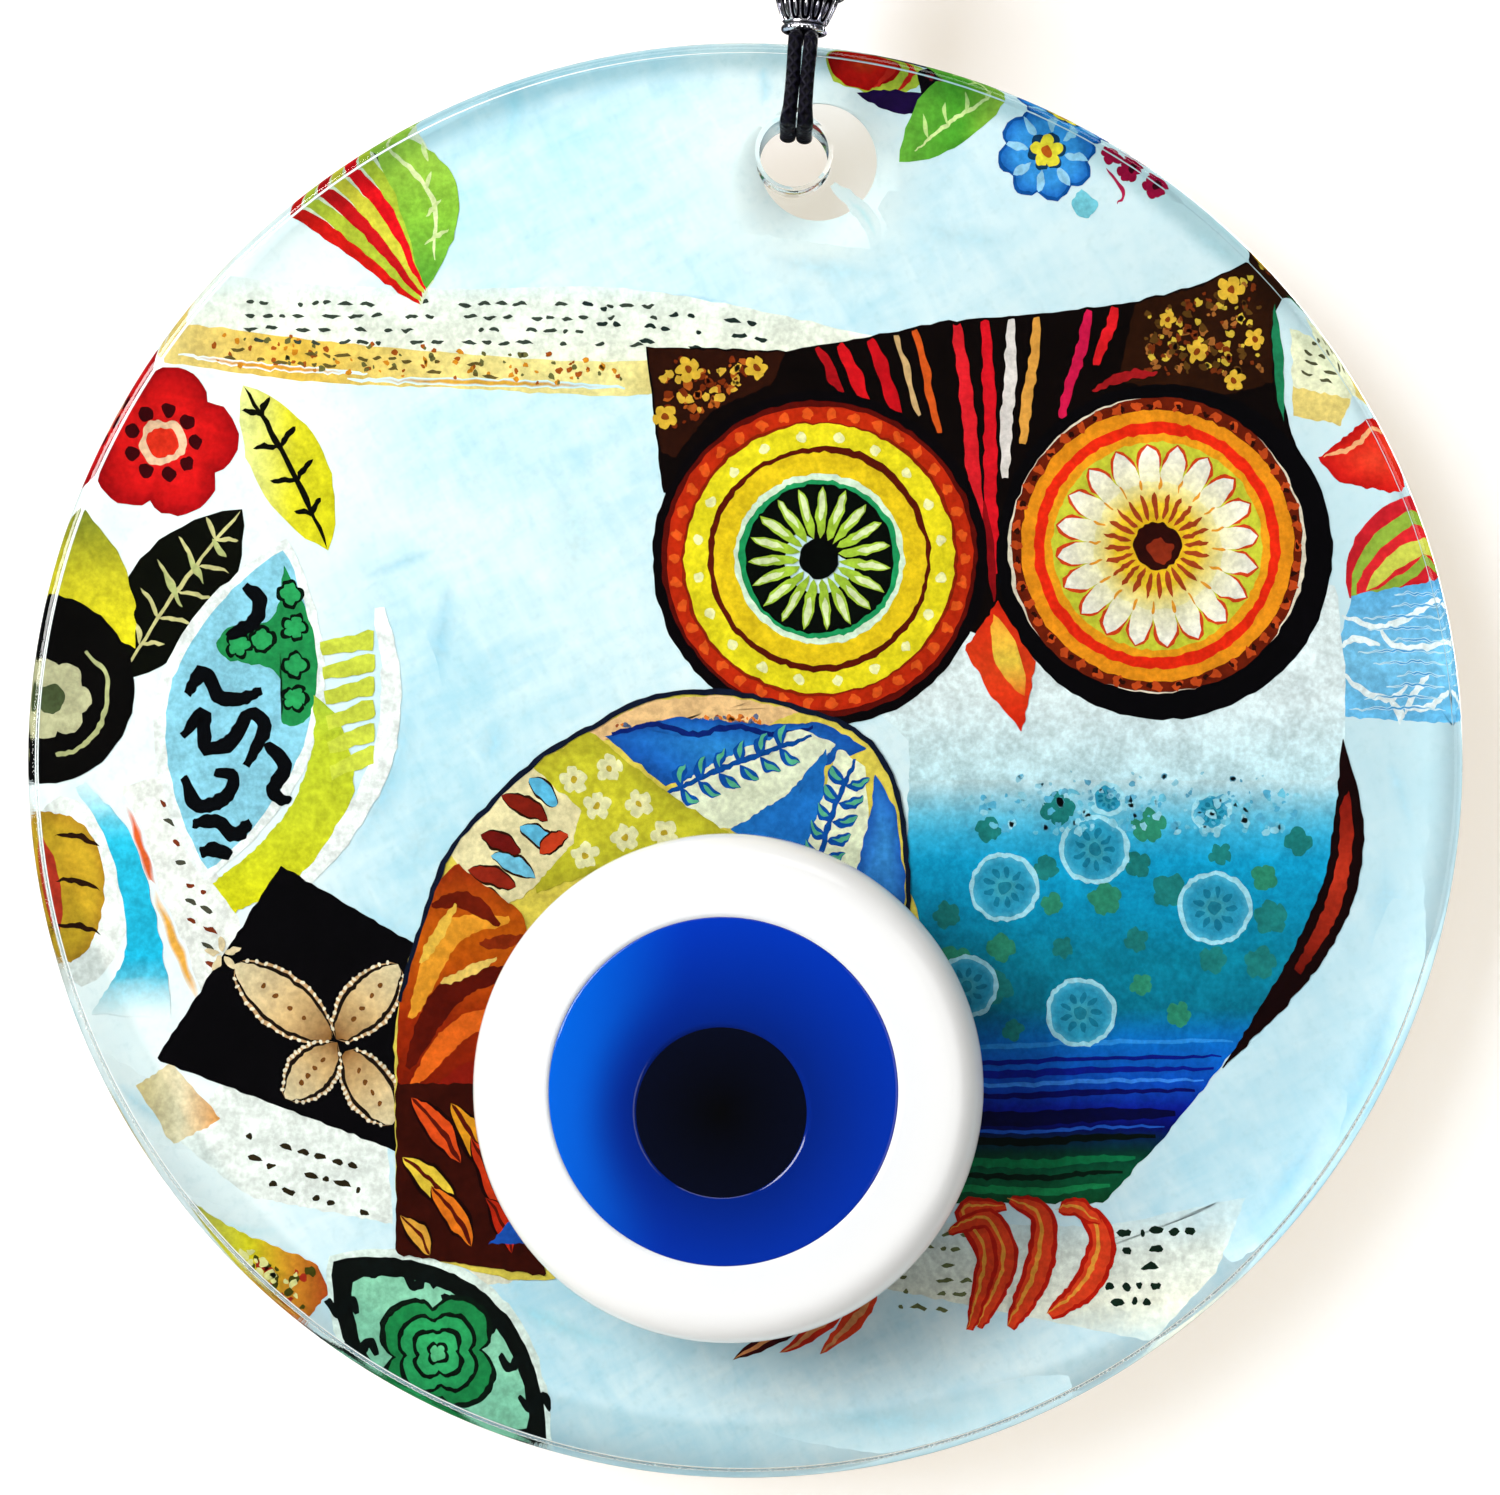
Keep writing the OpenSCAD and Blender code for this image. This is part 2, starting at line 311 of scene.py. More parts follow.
# %% Hanging loop
LOOP_R = 4 * MM
LOOP_LEG = np.array([[0.75, 1.2], [0.95, 4], [1.4, 7], [2, 11], [2.6, 15], [3.2, 20], [3.7, 26], [4, 32], [4, 38], [4, 44]]) * MM
loop_top = CORD_R - KNOT_Z - LOOP_R
arc = np.radians(np.linspace(0, 180, 13))
right = np.stack([LOOP_LEG[:, 0], LOOP_LEG[:, 1]], -1)
over = np.stack([LOOP_R * np.cos(arc), loop_top + LOOP_R * np.sin(arc)], -1)
left = right[::-1] * [-1, 1]
route = np.insert(np.vstack([right, over, left]), 1, 0, axis=1) + [0, 0, KNOT_Z]
loop_path = even(through(route, 400), 560)
loop_path[:, 1] += 0.12 * MM * np.sin(loop_path[:, 2] / (6 * MM))
points, faces, uv = tube(loop_path, CORD_R, np.array([0, 1, 0]))
hanging_loop = make_mesh("cord_loop", points, faces, cord_look, uv)
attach(hanging_loop, "hanger")
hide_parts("hanging_loop")


# %% [markdown]
# ## The strands round the glass
# Both strands of the doubled cord leave the cap, bend back over the rim, run down each face and
# meet in the drilled hole. Their route is the frame's own, so that they keep just off the glass.
# Waxed cord flattens where it is pulled against an edge, so the tube gets wider and thinner in the
# hole, where it carries the plaque.

# %% Hitch cords
GAP = 0.9
hitch_head = [[0.72, 13.0], [0.72, 12.75], [0.85, 12.25], [1.25, 11.9], [1.92, 11.8]]


def hitch_side(half, corner):
    """[depth, height over the hole] of one side, in mm: over the rim, whose corner has that radius, down the face
    that lies half from the middle of the glass, and into the hole."""
    way = [(np.sin(a), np.cos(a)) for a in np.radians(range(0, 91, 15))]
    bend = [[half - corner + (corner + GAP) * out, 10.9 - corner + (corner + GAP) * up] for out, up in way]
    face = [[half + GAP, z] for z in (8.2, 7, 5.8, 4.8)]
    dive = [[half + 0.82, 3.9], [half + 0.45, 3.2], [half - 0.25, 2.8], [half - 1.3, 2.66], [1.2, 2.66]]
    return np.array(hitch_head + bend + face + dive)


front_way, back_way = hitch_side(4, 1) * [-1, 1], hitch_side(4.37, 0.3)[::-1]
hitch_way = np.vstack([front_way, back_way])
for side, side_name in ((-1, "left"), (1, "right")):
    smooth = even(through(hitch_way * MM, 500), 260)
    run = np.linspace(0, 1, len(smooth))
    pinched = np.clip((4.4 - smooth[:, 1] / MM) / 1.4, 0, 1)
    apart = (0.72 + 0.07 * np.sin(run * 4 * np.pi) ** 2 + 0.08 * pinched) * MM
    path = np.stack([side * apart, smooth[:, 0], HOLE_Z + smooth[:, 1]], -1)
    points, faces, uv = tube(path, CORD_R, np.array([1.0, 0, 0]), sides=20, flat=0.03 + 0.15 * pinched)
    strand = make_mesh("cord_hitch_" + side_name, points, faces, cord_look, uv)
    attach(strand, "hitch")
    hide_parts("hitch_cord_" + side_name)

# %% [markdown]
# ## The stem, the knot and the tails
# Four strands run up through the caps and the bead. Over the upper cap they are tied in a barrel
# knot: three turns round the bundle, with one crossing strand that shows which way it was
# pulled tight. The two cut ends stick out of it and fray a little.

# %% Stem and knot
STRAND = 0.72 * MM
join_z = joints["disc_twist"]["pos_m"][2]


def save_cord(name, parts, body, node):
    """Joins several tubes into one piece."""
    points = np.vstack([part[0] for part in parts])
    starts = np.cumsum([0] + [len(part[0]) for part in parts[:-1]])
    faces = np.vstack([part[1] + start for part, start in zip(parts, starts)])
    piece = make_mesh(name, points, faces, cord_look, np.vstack([part[2] for part in parts]))
    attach(piece, body)
    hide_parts(node)
    return piece


stem = []
for x in (-1, 1):
    for y in (-1, 1):
        z = np.linspace(join_z, KNOT_Z - 2.6 * MM, 60)
        path = np.stack([np.full(60, x * STRAND), np.full(60, y * STRAND), z], -1)
        stem.append(tube(path, CORD_R, np.array([1.0, 0, 0])))
save_cord("cord_stem", stem, "stem", "stem_cords")


def barrel(turns, height, radius, lift):
    """A coil round the stem: angle 2 pi turns t, height from -height to height, radius pulled in at both ends."""
    t = np.linspace(0, 1, 200)
    a = 2 * np.pi * turns * t + 0.6
    z = height * (2 * t - 1) + lift * np.sin(a)
    r = radius * np.sqrt(1 - 0.45 * (2 * t - 1) ** 4)
    return np.stack([r * np.cos(a), r * np.sin(a), z + KNOT_Z], -1)


upright = np.array([0, 0, 1.0])
knot = [tube(barrel(3.1, 2.05 * MM, 2.3 * MM, 0.28 * MM), 0.74 * MM, upright)]
riser = np.array([[1.5, -1.6, -2.4], [1.2, -2.45, -1.6], [0.2, -2.75, -0.3], [-0.9, -2.5, 1.0], [-1.5, -1.5, 2.3], [-1.2, -0.6, 2.6]]) * MM
knot.append(tube(through(riser, 60) + [0, 0, KNOT_Z], 0.7 * MM, upright))
for x in (-1, 1):
    for y in (-1, 1):
        core = np.array([[x * 0.7, y * 0.7, -2.9], [x * 0.85, y * 0.8, 0], [x * 0.7, y * 0.5, 2.9]]) * MM
        knot.append(tube(through(core, 30) + [0, 0, KNOT_Z], 0.68 * MM, np.array([1.0, 0, 0])))
save_cord("cord_knot", knot, "knot", "knot")

tails = []
for side in (-1, 1):
    out = unit(np.array([side * 0.8, -0.9, 0.6]))
    s = np.linspace(1.6, 8.3, 60)[:, None]
    path = np.array([0, 0, KNOT_Z]) + (s * out - 0.03 * s**2 * upright) * MM
    size = CORD_R * (1 + 0.14 * np.clip((s[:, 0] - 7.2) / 1.1, 0, 1))
    tails.append(tube(path, size, upright))
save_cord("cord_tails", tails, "knot", "knot_tails")

# %% [markdown]
# ## The wall and the light
# Plain wall, pale floor, and one big soft light from the left, so that the plaque throws a soft
# shadow to its right. The wall also glows a warm beige, which is painted light: the lit wall, bluish,
# goes to white, and in the plaque's shadow the glow paints the shadow warm. The wall faces the room
# only: from behind it is clear, so the back of the plaque can be looked at too. Lamps stay out of
# the direction that the flat glass mirrors towards the camera, because a veil of reflection would
# lift the dark inks.

# %% Wall and floor
WALL_Y, FLOOR_Z = 16 * MM, -0.262


def plain_sheet(name, corners, material):
    """A flat stage sheet of four corners, cut into 2 x 2."""
    a, b, c, d = (np.array(corner, float) for corner in corners)
    s, t = np.meshgrid([0, 0.5, 1], [0, 0.5, 1], indexing="ij")
    s, t = s[..., None], t[..., None]
    points = (1 - s) * ((1 - t) * a + t * b) + s * ((1 - t) * d + t * c)
    sheet = make_mesh(name, points, grid_faces(3, 3), material)
    return sheet


glowing_wall_look, tree, shader = new_material("wall_paint", Roughness=0.9, Specular_IOR_Level=0.0, Base_Color=(0.72, 0.8, 0.93, 1))
# Painted light: a warm beige glow on the wall gives the plaque's shadow its warm colour, while the bluish lit wall goes
# to white.
shader.inputs["Emission Color"].default_value = (0.36, 0.24, 0.07, 1)
shader.inputs["Emission Strength"].default_value = 1.0
behind = add(tree, "NewGeometry").outputs["Backfacing"]
clear = add(tree, "BsdfTransparent").outputs[0]
mixed = add(tree, "MixShader", _0=behind, _1=shader.outputs[0], _2=clear).outputs[0]
tree.links.new(mixed, tree.nodes["Material Output"].inputs["Surface"])
wide = 1.5
wall = plain_sheet("wall", [(wide, WALL_Y, FLOOR_Z), (wide, WALL_Y, wide), (-wide, WALL_Y, wide), (-wide, WALL_Y, FLOOR_Z)], glowing_wall_look)
wall.visible_diffuse = wall.visible_glossy = wall.visible_shadow = False
floor_look, tree, shader = new_material("floor_paint", Roughness=0.8, Base_Color=(0.9, 0.89, 0.87, 1))
floor = plain_sheet("floor", [(-wide, -wide, FLOOR_Z), (wide, -wide, FLOOR_Z), (wide, wide, FLOOR_Z), (-wide, wide, FLOOR_Z)], floor_look)
floor.visible_glossy = False

# %% Lights


def soft_light(name, place, size, power, tint=(1, 1, 1)):
    data = bpy.data.lights.new(name, "AREA")
    data.shape = "RECTANGLE"
    data.size, data.size_y = size
    data.energy = power
    data.color = tint
    lamp = bpy.data.objects.new(name, data)
    lamp.location = np.array(place) + [0, 0, CENTRE[2]]
    aim_at = Vector((0, 0, CENTRE[2])) - lamp.location
    lamp.rotation_euler = aim_at.to_track_quat("-Z", "Y").to_euler()
    bpy.context.scene.collection.objects.link(lamp)
    return lamp


soft_light("window", (-0.66, -0.6, 0.3), (0.5, 0.6), 10.3, (1.0, 0.99, 0.97))
soft_light("fill", (0.5, -0.72, 0.0), (0.4, 0.7), 1.2)
soft_light("top", (0.0, -0.5, 0.75), (0.8, 0.35), 1.7)
soft_light("back", (0.45, 0.75, 0.3), (0.5, 0.5), 5.0)
world = bpy.data.worlds.new("room")
world.use_nodes = True
world.node_tree.nodes["Background"].inputs["Color"].default_value = (0.93, 0.97, 1.0, 1)
world.node_tree.nodes["Background"].inputs["Strength"].default_value = 0.05
bpy.context.scene.world = world

# %% [markdown]
# ## Glass
# The plaque is thick float glass, cut round, with its rim corners polished and a hole drilled
# near the top. Its outline runs from the big circle of the rim to the small circle of the hole,
# so every ring of the mesh is a circle somewhere between the two, and one grid closes the whole
# skin without a seam. Lamps shine through it: for shadow rays the surface is plain clear.

# %% Plates with a hole
HOLE = np.array([0.0, HOLE_Z - CENTRE[2]])


def pierced(name, stations, hole, material, columns=240):
    """A closed skin from rings. A ring (share, radius, depth) is a circle of that radius whose middle lies at
    share x hole from the plaque's middle, at that depth; the last ring joins the first."""
    share, radius, depth = (np.array(column)[:, None] for column in zip(*stations))
    a = np.linspace(0, 2 * np.pi, columns, endpoint=False)[None]
    x = share * hole[0] + radius * np.cos(a)
    z = share * hole[1] + radius * np.sin(a) + CENTRE[2]
    points = np.stack([x, np.broadcast_to(depth, x.shape), z], -1)
    return make_mesh(name, points, grid_faces(len(stations), columns, True, True), material)


def face_rings(outer, inner, depth, back=False, steps=16):
    """Rings across one flat face, from the outer circle to the inner one, or back again."""
    share = np.linspace(0, 1, steps)
    rings = [(s, outer + s * (inner - outer), depth) for s in share]
    return rings[::-1] if back else rings


def glass_material():
    material, tree, shader = new_material("clear_glass", Base_Color=(0.965, 0.995, 0.99, 1), Roughness=0.0, IOR=1.52, Transmission_Weight=1.0)
    place = add(tree, "TexCoord").outputs["Object"]
    x, _, z = (add(tree, "SeparateXYZ", Vector=place).outputs[k] for k in range(3))
    z = maths(tree, "SUBTRACT", z, float(CENTRE[2]))
    far = maths(tree, "SQRT", maths(tree, "ADD", maths(tree, "MULTIPLY", x, x), maths(tree, "MULTIPLY", z, z)))
    edge = spread(tree, far, RIM - 1.1 * MM, RIM - 0.4 * MM)
    angle = maths(tree, "ARCTAN2", z, x)
    streaks = add(tree, "TexNoise", {"noise_dimensions": "1D"}, W=angle, Scale=260.0, Detail=3.0, Roughness=0.7).outputs[0]
    height = maths(tree, "MULTIPLY", streaks, maths(tree, "MULTIPLY", edge, spread(tree, z, 20 * MM, -50 * MM)))
    tree.links.new(bump(tree, height, 0.35, 0.25 * MM), shader.inputs["Normal"])
    lamp_ray = add(tree, "LightPath").outputs["Is Shadow Ray"]
    clear = add(tree, "BsdfTransparent", Color=(0.97, 0.985, 0.98, 1)).outputs[0]
    mixed = add(tree, "MixShader", _0=lamp_ray, _1=shader.outputs[0], _2=clear).outputs[0]
    tree.links.new(mixed, tree.nodes["Material Output"].inputs["Surface"])
    return material


# %% Glass disc
FRONT_ROUND, BACK_ROUND, HOLE_R, CHAMFER, SUPPORT = 1.0 * MM, 0.08 * MM, 3.5 * MM, 0.4 * MM, 0.12 * MM


def corner(face, radius, way):
    """A polished rim corner: a quarter circle from the side to the face, or the other way if way is -1."""
    turn = np.radians(np.linspace(0, 90, 8))[::way]
    return [(0, RIM - radius * (1 - np.cos(t)), face - np.sign(face) * radius * (1 - np.sin(t))) for t in turn]


stations = corner(FRONT, FRONT_ROUND, 1)
stations += face_rings(RIM - FRONT_ROUND - SUPPORT, HOLE_R + CHAMFER + SUPPORT, FRONT)
for depth, way in ((FRONT, 1), (BACK, -1)):
    lip = [(1, HOLE_R + CHAMFER, depth), (1, HOLE_R + CHAMFER - 0.08 * MM, depth - np.sign(depth) * 0.08 * MM),
           (1, HOLE_R + 0.08 * MM, depth - np.sign(depth) * (CHAMFER - 0.08 * MM)), (1, HOLE_R, depth - np.sign(depth) * CHAMFER),
           (1, HOLE_R, depth - np.sign(depth) * (CHAMFER + SUPPORT))]
    stations += lip[::way]
stations += face_rings(RIM - BACK_ROUND - SUPPORT, HOLE_R + CHAMFER + SUPPORT, BACK, back=True)
stations += corner(BACK, BACK_ROUND, -1)
glass_disc = pierced("glass_plaque", stations, HOLE, glass_material())
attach(glass_disc, "plaque")
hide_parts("glass_disc")
print(f"glass {len(glass_disc.data.polygons)} faces")

# %% [markdown]
# ## The picture behind the glass
# The picture is a paper collage: washes, cut leaves, flowers, cloth scraps and a folk-art owl, all
# printed on one film. A picture file would be the quick way, but here each scrap is a small
# painted surface worked out from a formula: a leaf between two tips, a ring of petals, a ribbon
# along a curve. Each point carries its own paint, whose alpha says how much of the sky wash below
# still shows through, and the scraps are stacked like real cut paper, a few microns apart, inside
# the thickness of the film.

# %% Outlines
SPREAD, SHIFT = 1.015, -0.05
FILM_R = 72.4 * MM
FILM_FRONT, FILM_BACK, LIFT = BACK - 0.005 * MM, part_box("print_film")[1][1], 0.003 * MM
dice = np.random.default_rng(7)


def wobble(angles, amount, seed):
    """1 plus a few slow waves, which closes on itself: the edge of a shape cut by hand."""
    parts = np.random.default_rng(seed).uniform(0, 6.28, 4)
    return 1 + amount * sum(np.sin(k * angles + parts[k - 2]) / k**0.5 for k in (2, 3, 4, 5)) / 2


def disc_at(middle, radius, inner=0.0, uneven=0.01, seed=1, count=72, rows=4):
    """Polar grid: middle + r (cos a, sin a), with r from inner to radius and an uneven outer edge."""
    a = np.linspace(0, 2 * np.pi, count + 1)
    r = np.linspace(inner, radius, rows)[:, None] * wobble(a, uneven, seed)
    return np.asarray(middle) + np.stack([r * np.cos(a), r * np.sin(a)], -1)


def lens(tip, end, half, bend=0.0, power=0.8, count=18):
    """A leaf between two points: its half width is half x sin(pi t)^power, and its midrib bows by bend."""
    tip, end = np.asarray(tip, float), np.asarray(end, float)
    t = np.linspace(0, 1, count)[:, None, None]
    across = np.linspace(-1, 1, 5)[None, :, None]
    square = unit(np.array([-(end - tip)[1], (end - tip)[0]]))
    return tip + t * (end - tip) + (across * half * np.sin(np.pi * t) ** power + bend * np.sin(np.pi * t)) * square


def stroke(points, width, taper=0.6, count=40):
    """A ribbon along a smooth curve; its width swells as sin(pi t)^taper, and taper 0 keeps it even."""
    line = even(through(points, 4 * count), count)
    along = unit(np.gradient(line, axis=0))
    square = np.stack([-along[:, 1], along[:, 0]], -1)
    t = np.linspace(0.02, 0.98, count)
    half = width / 2 * (np.sin(np.pi * t) ** taper if taper else np.ones(count))
    return line[:, None] + np.linspace(-1, 1, 5)[None, :, None] * (half[:, None] * square)[:, None]


def cut(corners, middle=None, smooth=False, rows=5, count=120, uneven=0.0):
    """A scrap of any outline that its middle can see the whole of: rings that shrink from the outline to there."""
    closed = np.vstack([corners, corners[:1]]).astype(float)
    line = even(through(closed, 600) if smooth else closed, count + 1)
    middle = line[:-1].mean(0) if middle is None else np.asarray(middle, float)
    edge = wobble(np.linspace(0, 2 * np.pi, count + 1), uneven, 5)[:, None]
    return middle + np.linspace(0, 1, rows)[:, None, None] * ((line - middle) * edge)[None]


def between(one, other, rows=60, columns=6):
    """The surface between two curves."""
    a, b = (even(through(line, 300), rows)[:, None] for line in (one, other))
    return a + np.linspace(0, 1, columns)[None, :, None] * (b - a)


def petals(middle, inner, outer, half, count, turn=0.0, power=0.6):
    """A ring of lens petals that point outwards."""
    a = turn + np.linspace(0, 2 * np.pi, count, endpoint=False)
    ways = np.stack([np.cos(a), np.sin(a)], -1)
    return [lens(middle + inner * way, middle + outer * way, half, power=power, count=9) for way in ways]


def lobed(middle, radius, lobes, depth=0.22, turn=0.0, count=60):
    """A flower outline: r = radius (1 - depth + depth |cos(lobes a / 2)|^0.6)."""
    a = np.linspace(0, 2 * np.pi, count + 1)
    r = radius * (1 - depth + depth * np.abs(np.cos(lobes * (a - turn) / 2)) ** 0.6)
    r = np.linspace(0, 1, 4)[:, None] * r
    return np.asarray(middle) + np.stack([r * np.cos(a), r * np.sin(a)], -1)


# %% Paint and stacking
scraps, covers = {}, []


def rgba(text, alpha=1.0):
    return np.array([*linear(text), alpha])


def shade_by(axis, stops):
    """Paint that changes along u (0) or v (1): stops are (place, colour) or (place, colour, alpha), rising."""
    places = [stop[0] for stop in stops]
    paints = np.array([rgba(*stop[1:]) for stop in stops])
    return lambda grid: np.stack([np.interp(grid[..., axis], places, paints[:, k]) for k in range(4)], -1)


def radial(stops):
    """Paint that changes from the first row of a polar grid, 0, to the last, 1."""
    places, paints = [stop[0] for stop in stops], np.array([rgba(*stop[1:]) for stop in stops])

    def paint(grid):
        t = np.broadcast_to(np.linspace(0, 1, grid.shape[0])[:, None], grid.shape[:2])
        return np.stack([np.interp(t, places, paints[:, k]) for k in range(4)], -1)

    return paint


def lay(piece, grids, paint, soft=False):
    """Adds scraps to a piece, one lift over everything that their box overlaps. soft is how strong the paint is in
    the middle of a brush stroke, whose edges fade out."""
    grids = grids if isinstance(grids, list) else [grids]
    low = np.min([grid.reshape(-1, 2).min(0) for grid in grids], axis=0)
    high = np.max([grid.reshape(-1, 2).max(0) for grid in grids], axis=0)
    under = [level for a, b, level in covers if (a < high).all() and (b > low).all()]
    level = 1 + max(under, default=0)
    covers.append((low, high, level))
    for grid in grids:
        colours = paint(grid) if callable(paint) else np.tile(rgba(paint), grid.shape[:2] + (1,))
        if soft:
            fades = [np.sin(np.pi * np.linspace(0.03, 0.97, n)) for n in grid.shape[:2]]
            colours[..., 3] *= soft * fades[0][:, None] ** 0.7 * fades[1][None]
        scraps.setdefault(piece, []).append((grid, colours, level))


def dashes(piece, corner, along, down, rows, ink, width=0.3, skip=0.25):
    """Rows of short strokes, as a page of print looks from too far to read. along and down are the sides of the block."""
    corner, along, down = (np.array(side, float) for side in (corner, along, down))
    reach, marks = np.linalg.norm(along), []
    for row in range(rows):
        at = dice.uniform(0, 1.5)
        while at < reach - 2:
            size = dice.uniform(0.5, 1.8)
            if dice.uniform() > skip:
                start = corner + along * at / reach + down * (row + dice.uniform(-0.08, 0.08)) / rows
                marks.append(lens(start, start + along / reach * size, width / 2, dice.uniform(-0.12, 0.12), 0.3, 6))
            at += size + dice.uniform(0.35, 0.8)
    lay(piece, marks, ink)


def specks(piece, corners, number, sizes, inks):
    """Flecks scattered over a four-cornered patch."""
    a, b, c, d = np.array(corners, float)
    for ink in inks:
        flecks = []
        for s, t in dice.uniform(0.05, 0.95, (number, 2)):
            middle = (1 - s) * ((1 - t) * a + t * b) + s * ((1 - t) * d + t * c)
            flecks.append(disc_at(middle, dice.uniform(*sizes), uneven=0.35, seed=int(dice.integers(99)), count=10, rows=2))
        lay(piece, flecks, ink)


# %% [markdown]
# ### Washes, the page and the loose leaves
# The lowest scraps are soft brush strokes in cyan, the torn page along the top, and the leaves,
# flowers and cards that lie round the rim. Lines of print on the pages are only rows of strokes.

# %% Washes
WASHES = [
    ([(-23.6, 71.5), (-23.2, 66), (-24.4, 59)], 3.4, "#86dcf5"), ([(1.6, 72), (2.1, 67.5), (1.2, 64)], 2.8, "#4fcbee"),
    ([(-41.5, 17), (-35.5, 19.6), (-30, 21.6), (-27.6, 22.6)], 2.4, "#6cc6e8"), ([(-29, 24), (-30, 16), (-31.6, 8), (-35, -2)], 3.6, "#62bfe4"),
    ([(-33, 12), (-33.8, 4), (-37.5, -6), (-43, -14.5)], 5.0, "#69c4e6"), ([(-24, 6), (-25.2, 1.5), (-27, -2)], 4.4, "#83cfee"),
    ([(-41, -12), (-36, -16.5), (-29, -19)], 4.0, "#7fcdea"), ([(-30, -3), (-33, -9), (-34, -15)], 4.4, "#a6def2"),
    ([(63.5, -3), (64.6, -12), (64, -22), (60.5, -32)], 5.5, "#7fcdee"), ([(66.5, -14), (64.6, -26), (59.5, -38), (53.5, -46)], 5.0, "#5cbde6"),
    ([(60, -33), (55, -42), (48.5, -50)], 3.5, "#74c8ec"), ([(-16.5, 48), (-9.5, 47), (-2, 46.2), (3.5, 44.6)], 1.1, "#3ea7d8"),
    ([(-13.5, 45.6), (-8.5, 46.5), (-3, 45.4)], 0.7, "#5cb4dc"), ([(-27.5, -52.4), (-22, -55.5), (-14.5, -58.5), (-8, -59.4)], 3.2, "#74d4e8"),
    ([(-66, -30), (-60, -35.5), (-53, -38.5)], 3.4, "#5cc8ea"), ([(-58.5, -44), (-50, -47.5), (-43, -46)], 2.4, "#9fe2f2"),
    ([(-6, -62), (6, -65.5), (20, -66.5), (33, -63)], 4.5, "#a4e2f5"), ([(14, 56.5), (20, 53), (31, 52)], 4.0, "#a9dced"),
    ([(-38, 57), (-30, 51.5), (-20, 50)], 4.5, "#c0ecf7"), ([(-2, 52), (8, 49.5), (20, 48.8)], 3.5, "#9ed8ee"),
    ([(41, 55.5), (47, 52), (53, 47.5)], 3.5, "#a8dbe9"), ([(9, 58), (12.5, 54.5), (13.5, 51)], 1.2, "#7fd6e2"),
    ([(-52.5, 14), (-49.5, 8), (-48.6, 1)], 1.2, "#a5ddf0"), ([(64, 3), (66, -3), (68, -9)], 3.0, "#9ad8f2"),
    ([(-19, 34), (-17, 22), (-19, 10)], 7.0, "#cdeff5"), ([(-29, 36), (-27, 27), (-24, 18)], 6.0, "#dcf7fa"),
]
for points, width, ink in WASHES:
    lay("print_washes", stroke(points, 1.45 * width, 0.4), ink, soft=0.55)

# %% Pages
page_top = [(-62, 50.5), (-46, 48.2), (-30, 47.6), (-12, 47.6), (2, 45.2), (13, 42.8)]
page_low = [(-60, 44.6), (-45, 42.6), (-30, 41.2), (-16, 40.2), (-4, 40.6), (12, 41.2)]
edge_low = [(-58.6, 40.2), (-44, 38.2), (-30, 37.6), (-18, 36.9), (-9.4, 37), (0, 39.5)]
lay("print_pages", between(page_top, page_low), shade_by(1, [(38, "#eef2cf"), (42, "#f6faea"), (47, "#f4fdf2", 0.8), (50, "#eafcfa", 0.35)]))
lay("print_pages", between(page_low, edge_low, columns=9), shade_by(0, [(-60, "#f2dc8a"), (-45, "#efc44a"), (-30, "#f3dd86"), (-14, "#f7ea9c"), (0, "#e0c060")]))
lay("print_pages", stroke([(-57, 41), (-49, 39.8), (-38, 39)], 0.7), "#e5a02c", soft=True)
lay("print_pages", stroke([(-40, 38.4), (-26, 38.1), (-12, 37.6)], 0.8), "#e0a83c", soft=True)
specks("print_pages", [(-56, 43.5), (-10, 40.5), (-10, 37.4), (-56, 39.6)], 34, (0.14, 0.34), ["#a8521a", "#d98a22", "#6d6a3a"])
dashes("print_pages", (-51, 46.2), (44, -0.4), (0.2, -5.2), 4, "#3c463c", 0.4, 0.35)
dashes("print_pages", (-17, 46), (20, -2.2), (0.2, -4.6), 3, "#22302c", 0.46, 0.3)
dashes("print_pages", (-53, 41.6), (30, -2.0), (0, -2), 2, "#6a5a2c", 0.36, 0.45)
lay("print_pages", cut([(17, -46.5), (36, -47), (50.5, -44), (47.5, -51.5), (41, -58.5), (13, -53), (13.5, -49)]), shade_by(1, [(-59, "#fdf6d8", 0.5), (-52, "#f5f8ea"), (-46, "#e6f2ee", 0.6)]))
dashes("print_pages", (15.5, -47.5), (9, -0.5), (-1, -9), 6, "#6f7448", 0.45)
dashes("print_pages", (37, -47.6), (9.5, 0.4), (-1.5, -9), 5, "#12261a", 0.75)
lay("print_pages", cut([(55, 43.6), (62.5, 39.6), (60, 33.8), (55.3, 35.6)]), "#eef0cc")
lay("print_pages", cut([(55.2, 37.6), (61, 36.4), (60, 33.8), (55.3, 34.6)]), "#e9d27a")
dashes("print_pages", (55.8, 42.6), (5.4, -2.2), (0, -4.4), 4, "#54543a", 0.34)
lay("print_pages", between([(-63, -2.6), (-60.5, -12), (-57, -20), (-53.5, -27)], [(-58, -1.5), (-55, -8), (-51.5, -15), (-49.8, -21)]), "#f6f9f4")
lay("print_pages", stroke([(-62.6, -3.6), (-60.6, -9.5), (-59, -14.5)], 1.3), "#e2622c", soft=True)
lay("print_pages", stroke([(-60, -12), (-57, -19.5), (-54.6, -25.5)], 1.6), "#f0b048", soft=True)
for k in range(9):
    start = np.array([-60 + 0.62 * k, -3.6 - 2.05 * k])
    dashes("print_pages", start, (4.6, -2.2), (0, -1), 1, "#4a4a3c" if k % 2 else "#7c321a", 0.5, 0.1)
lay("print_pages", cut([(-52.5, -32.2), (-36, -38.6), (-35.4, -46.8), (-50, -44), (-57, -38.5)]), "#f4fbf6")
dashes("print_pages", (-51, -37.6), (14, -4.2), (0.6, -6.5), 3, "#2c2414", 0.6)
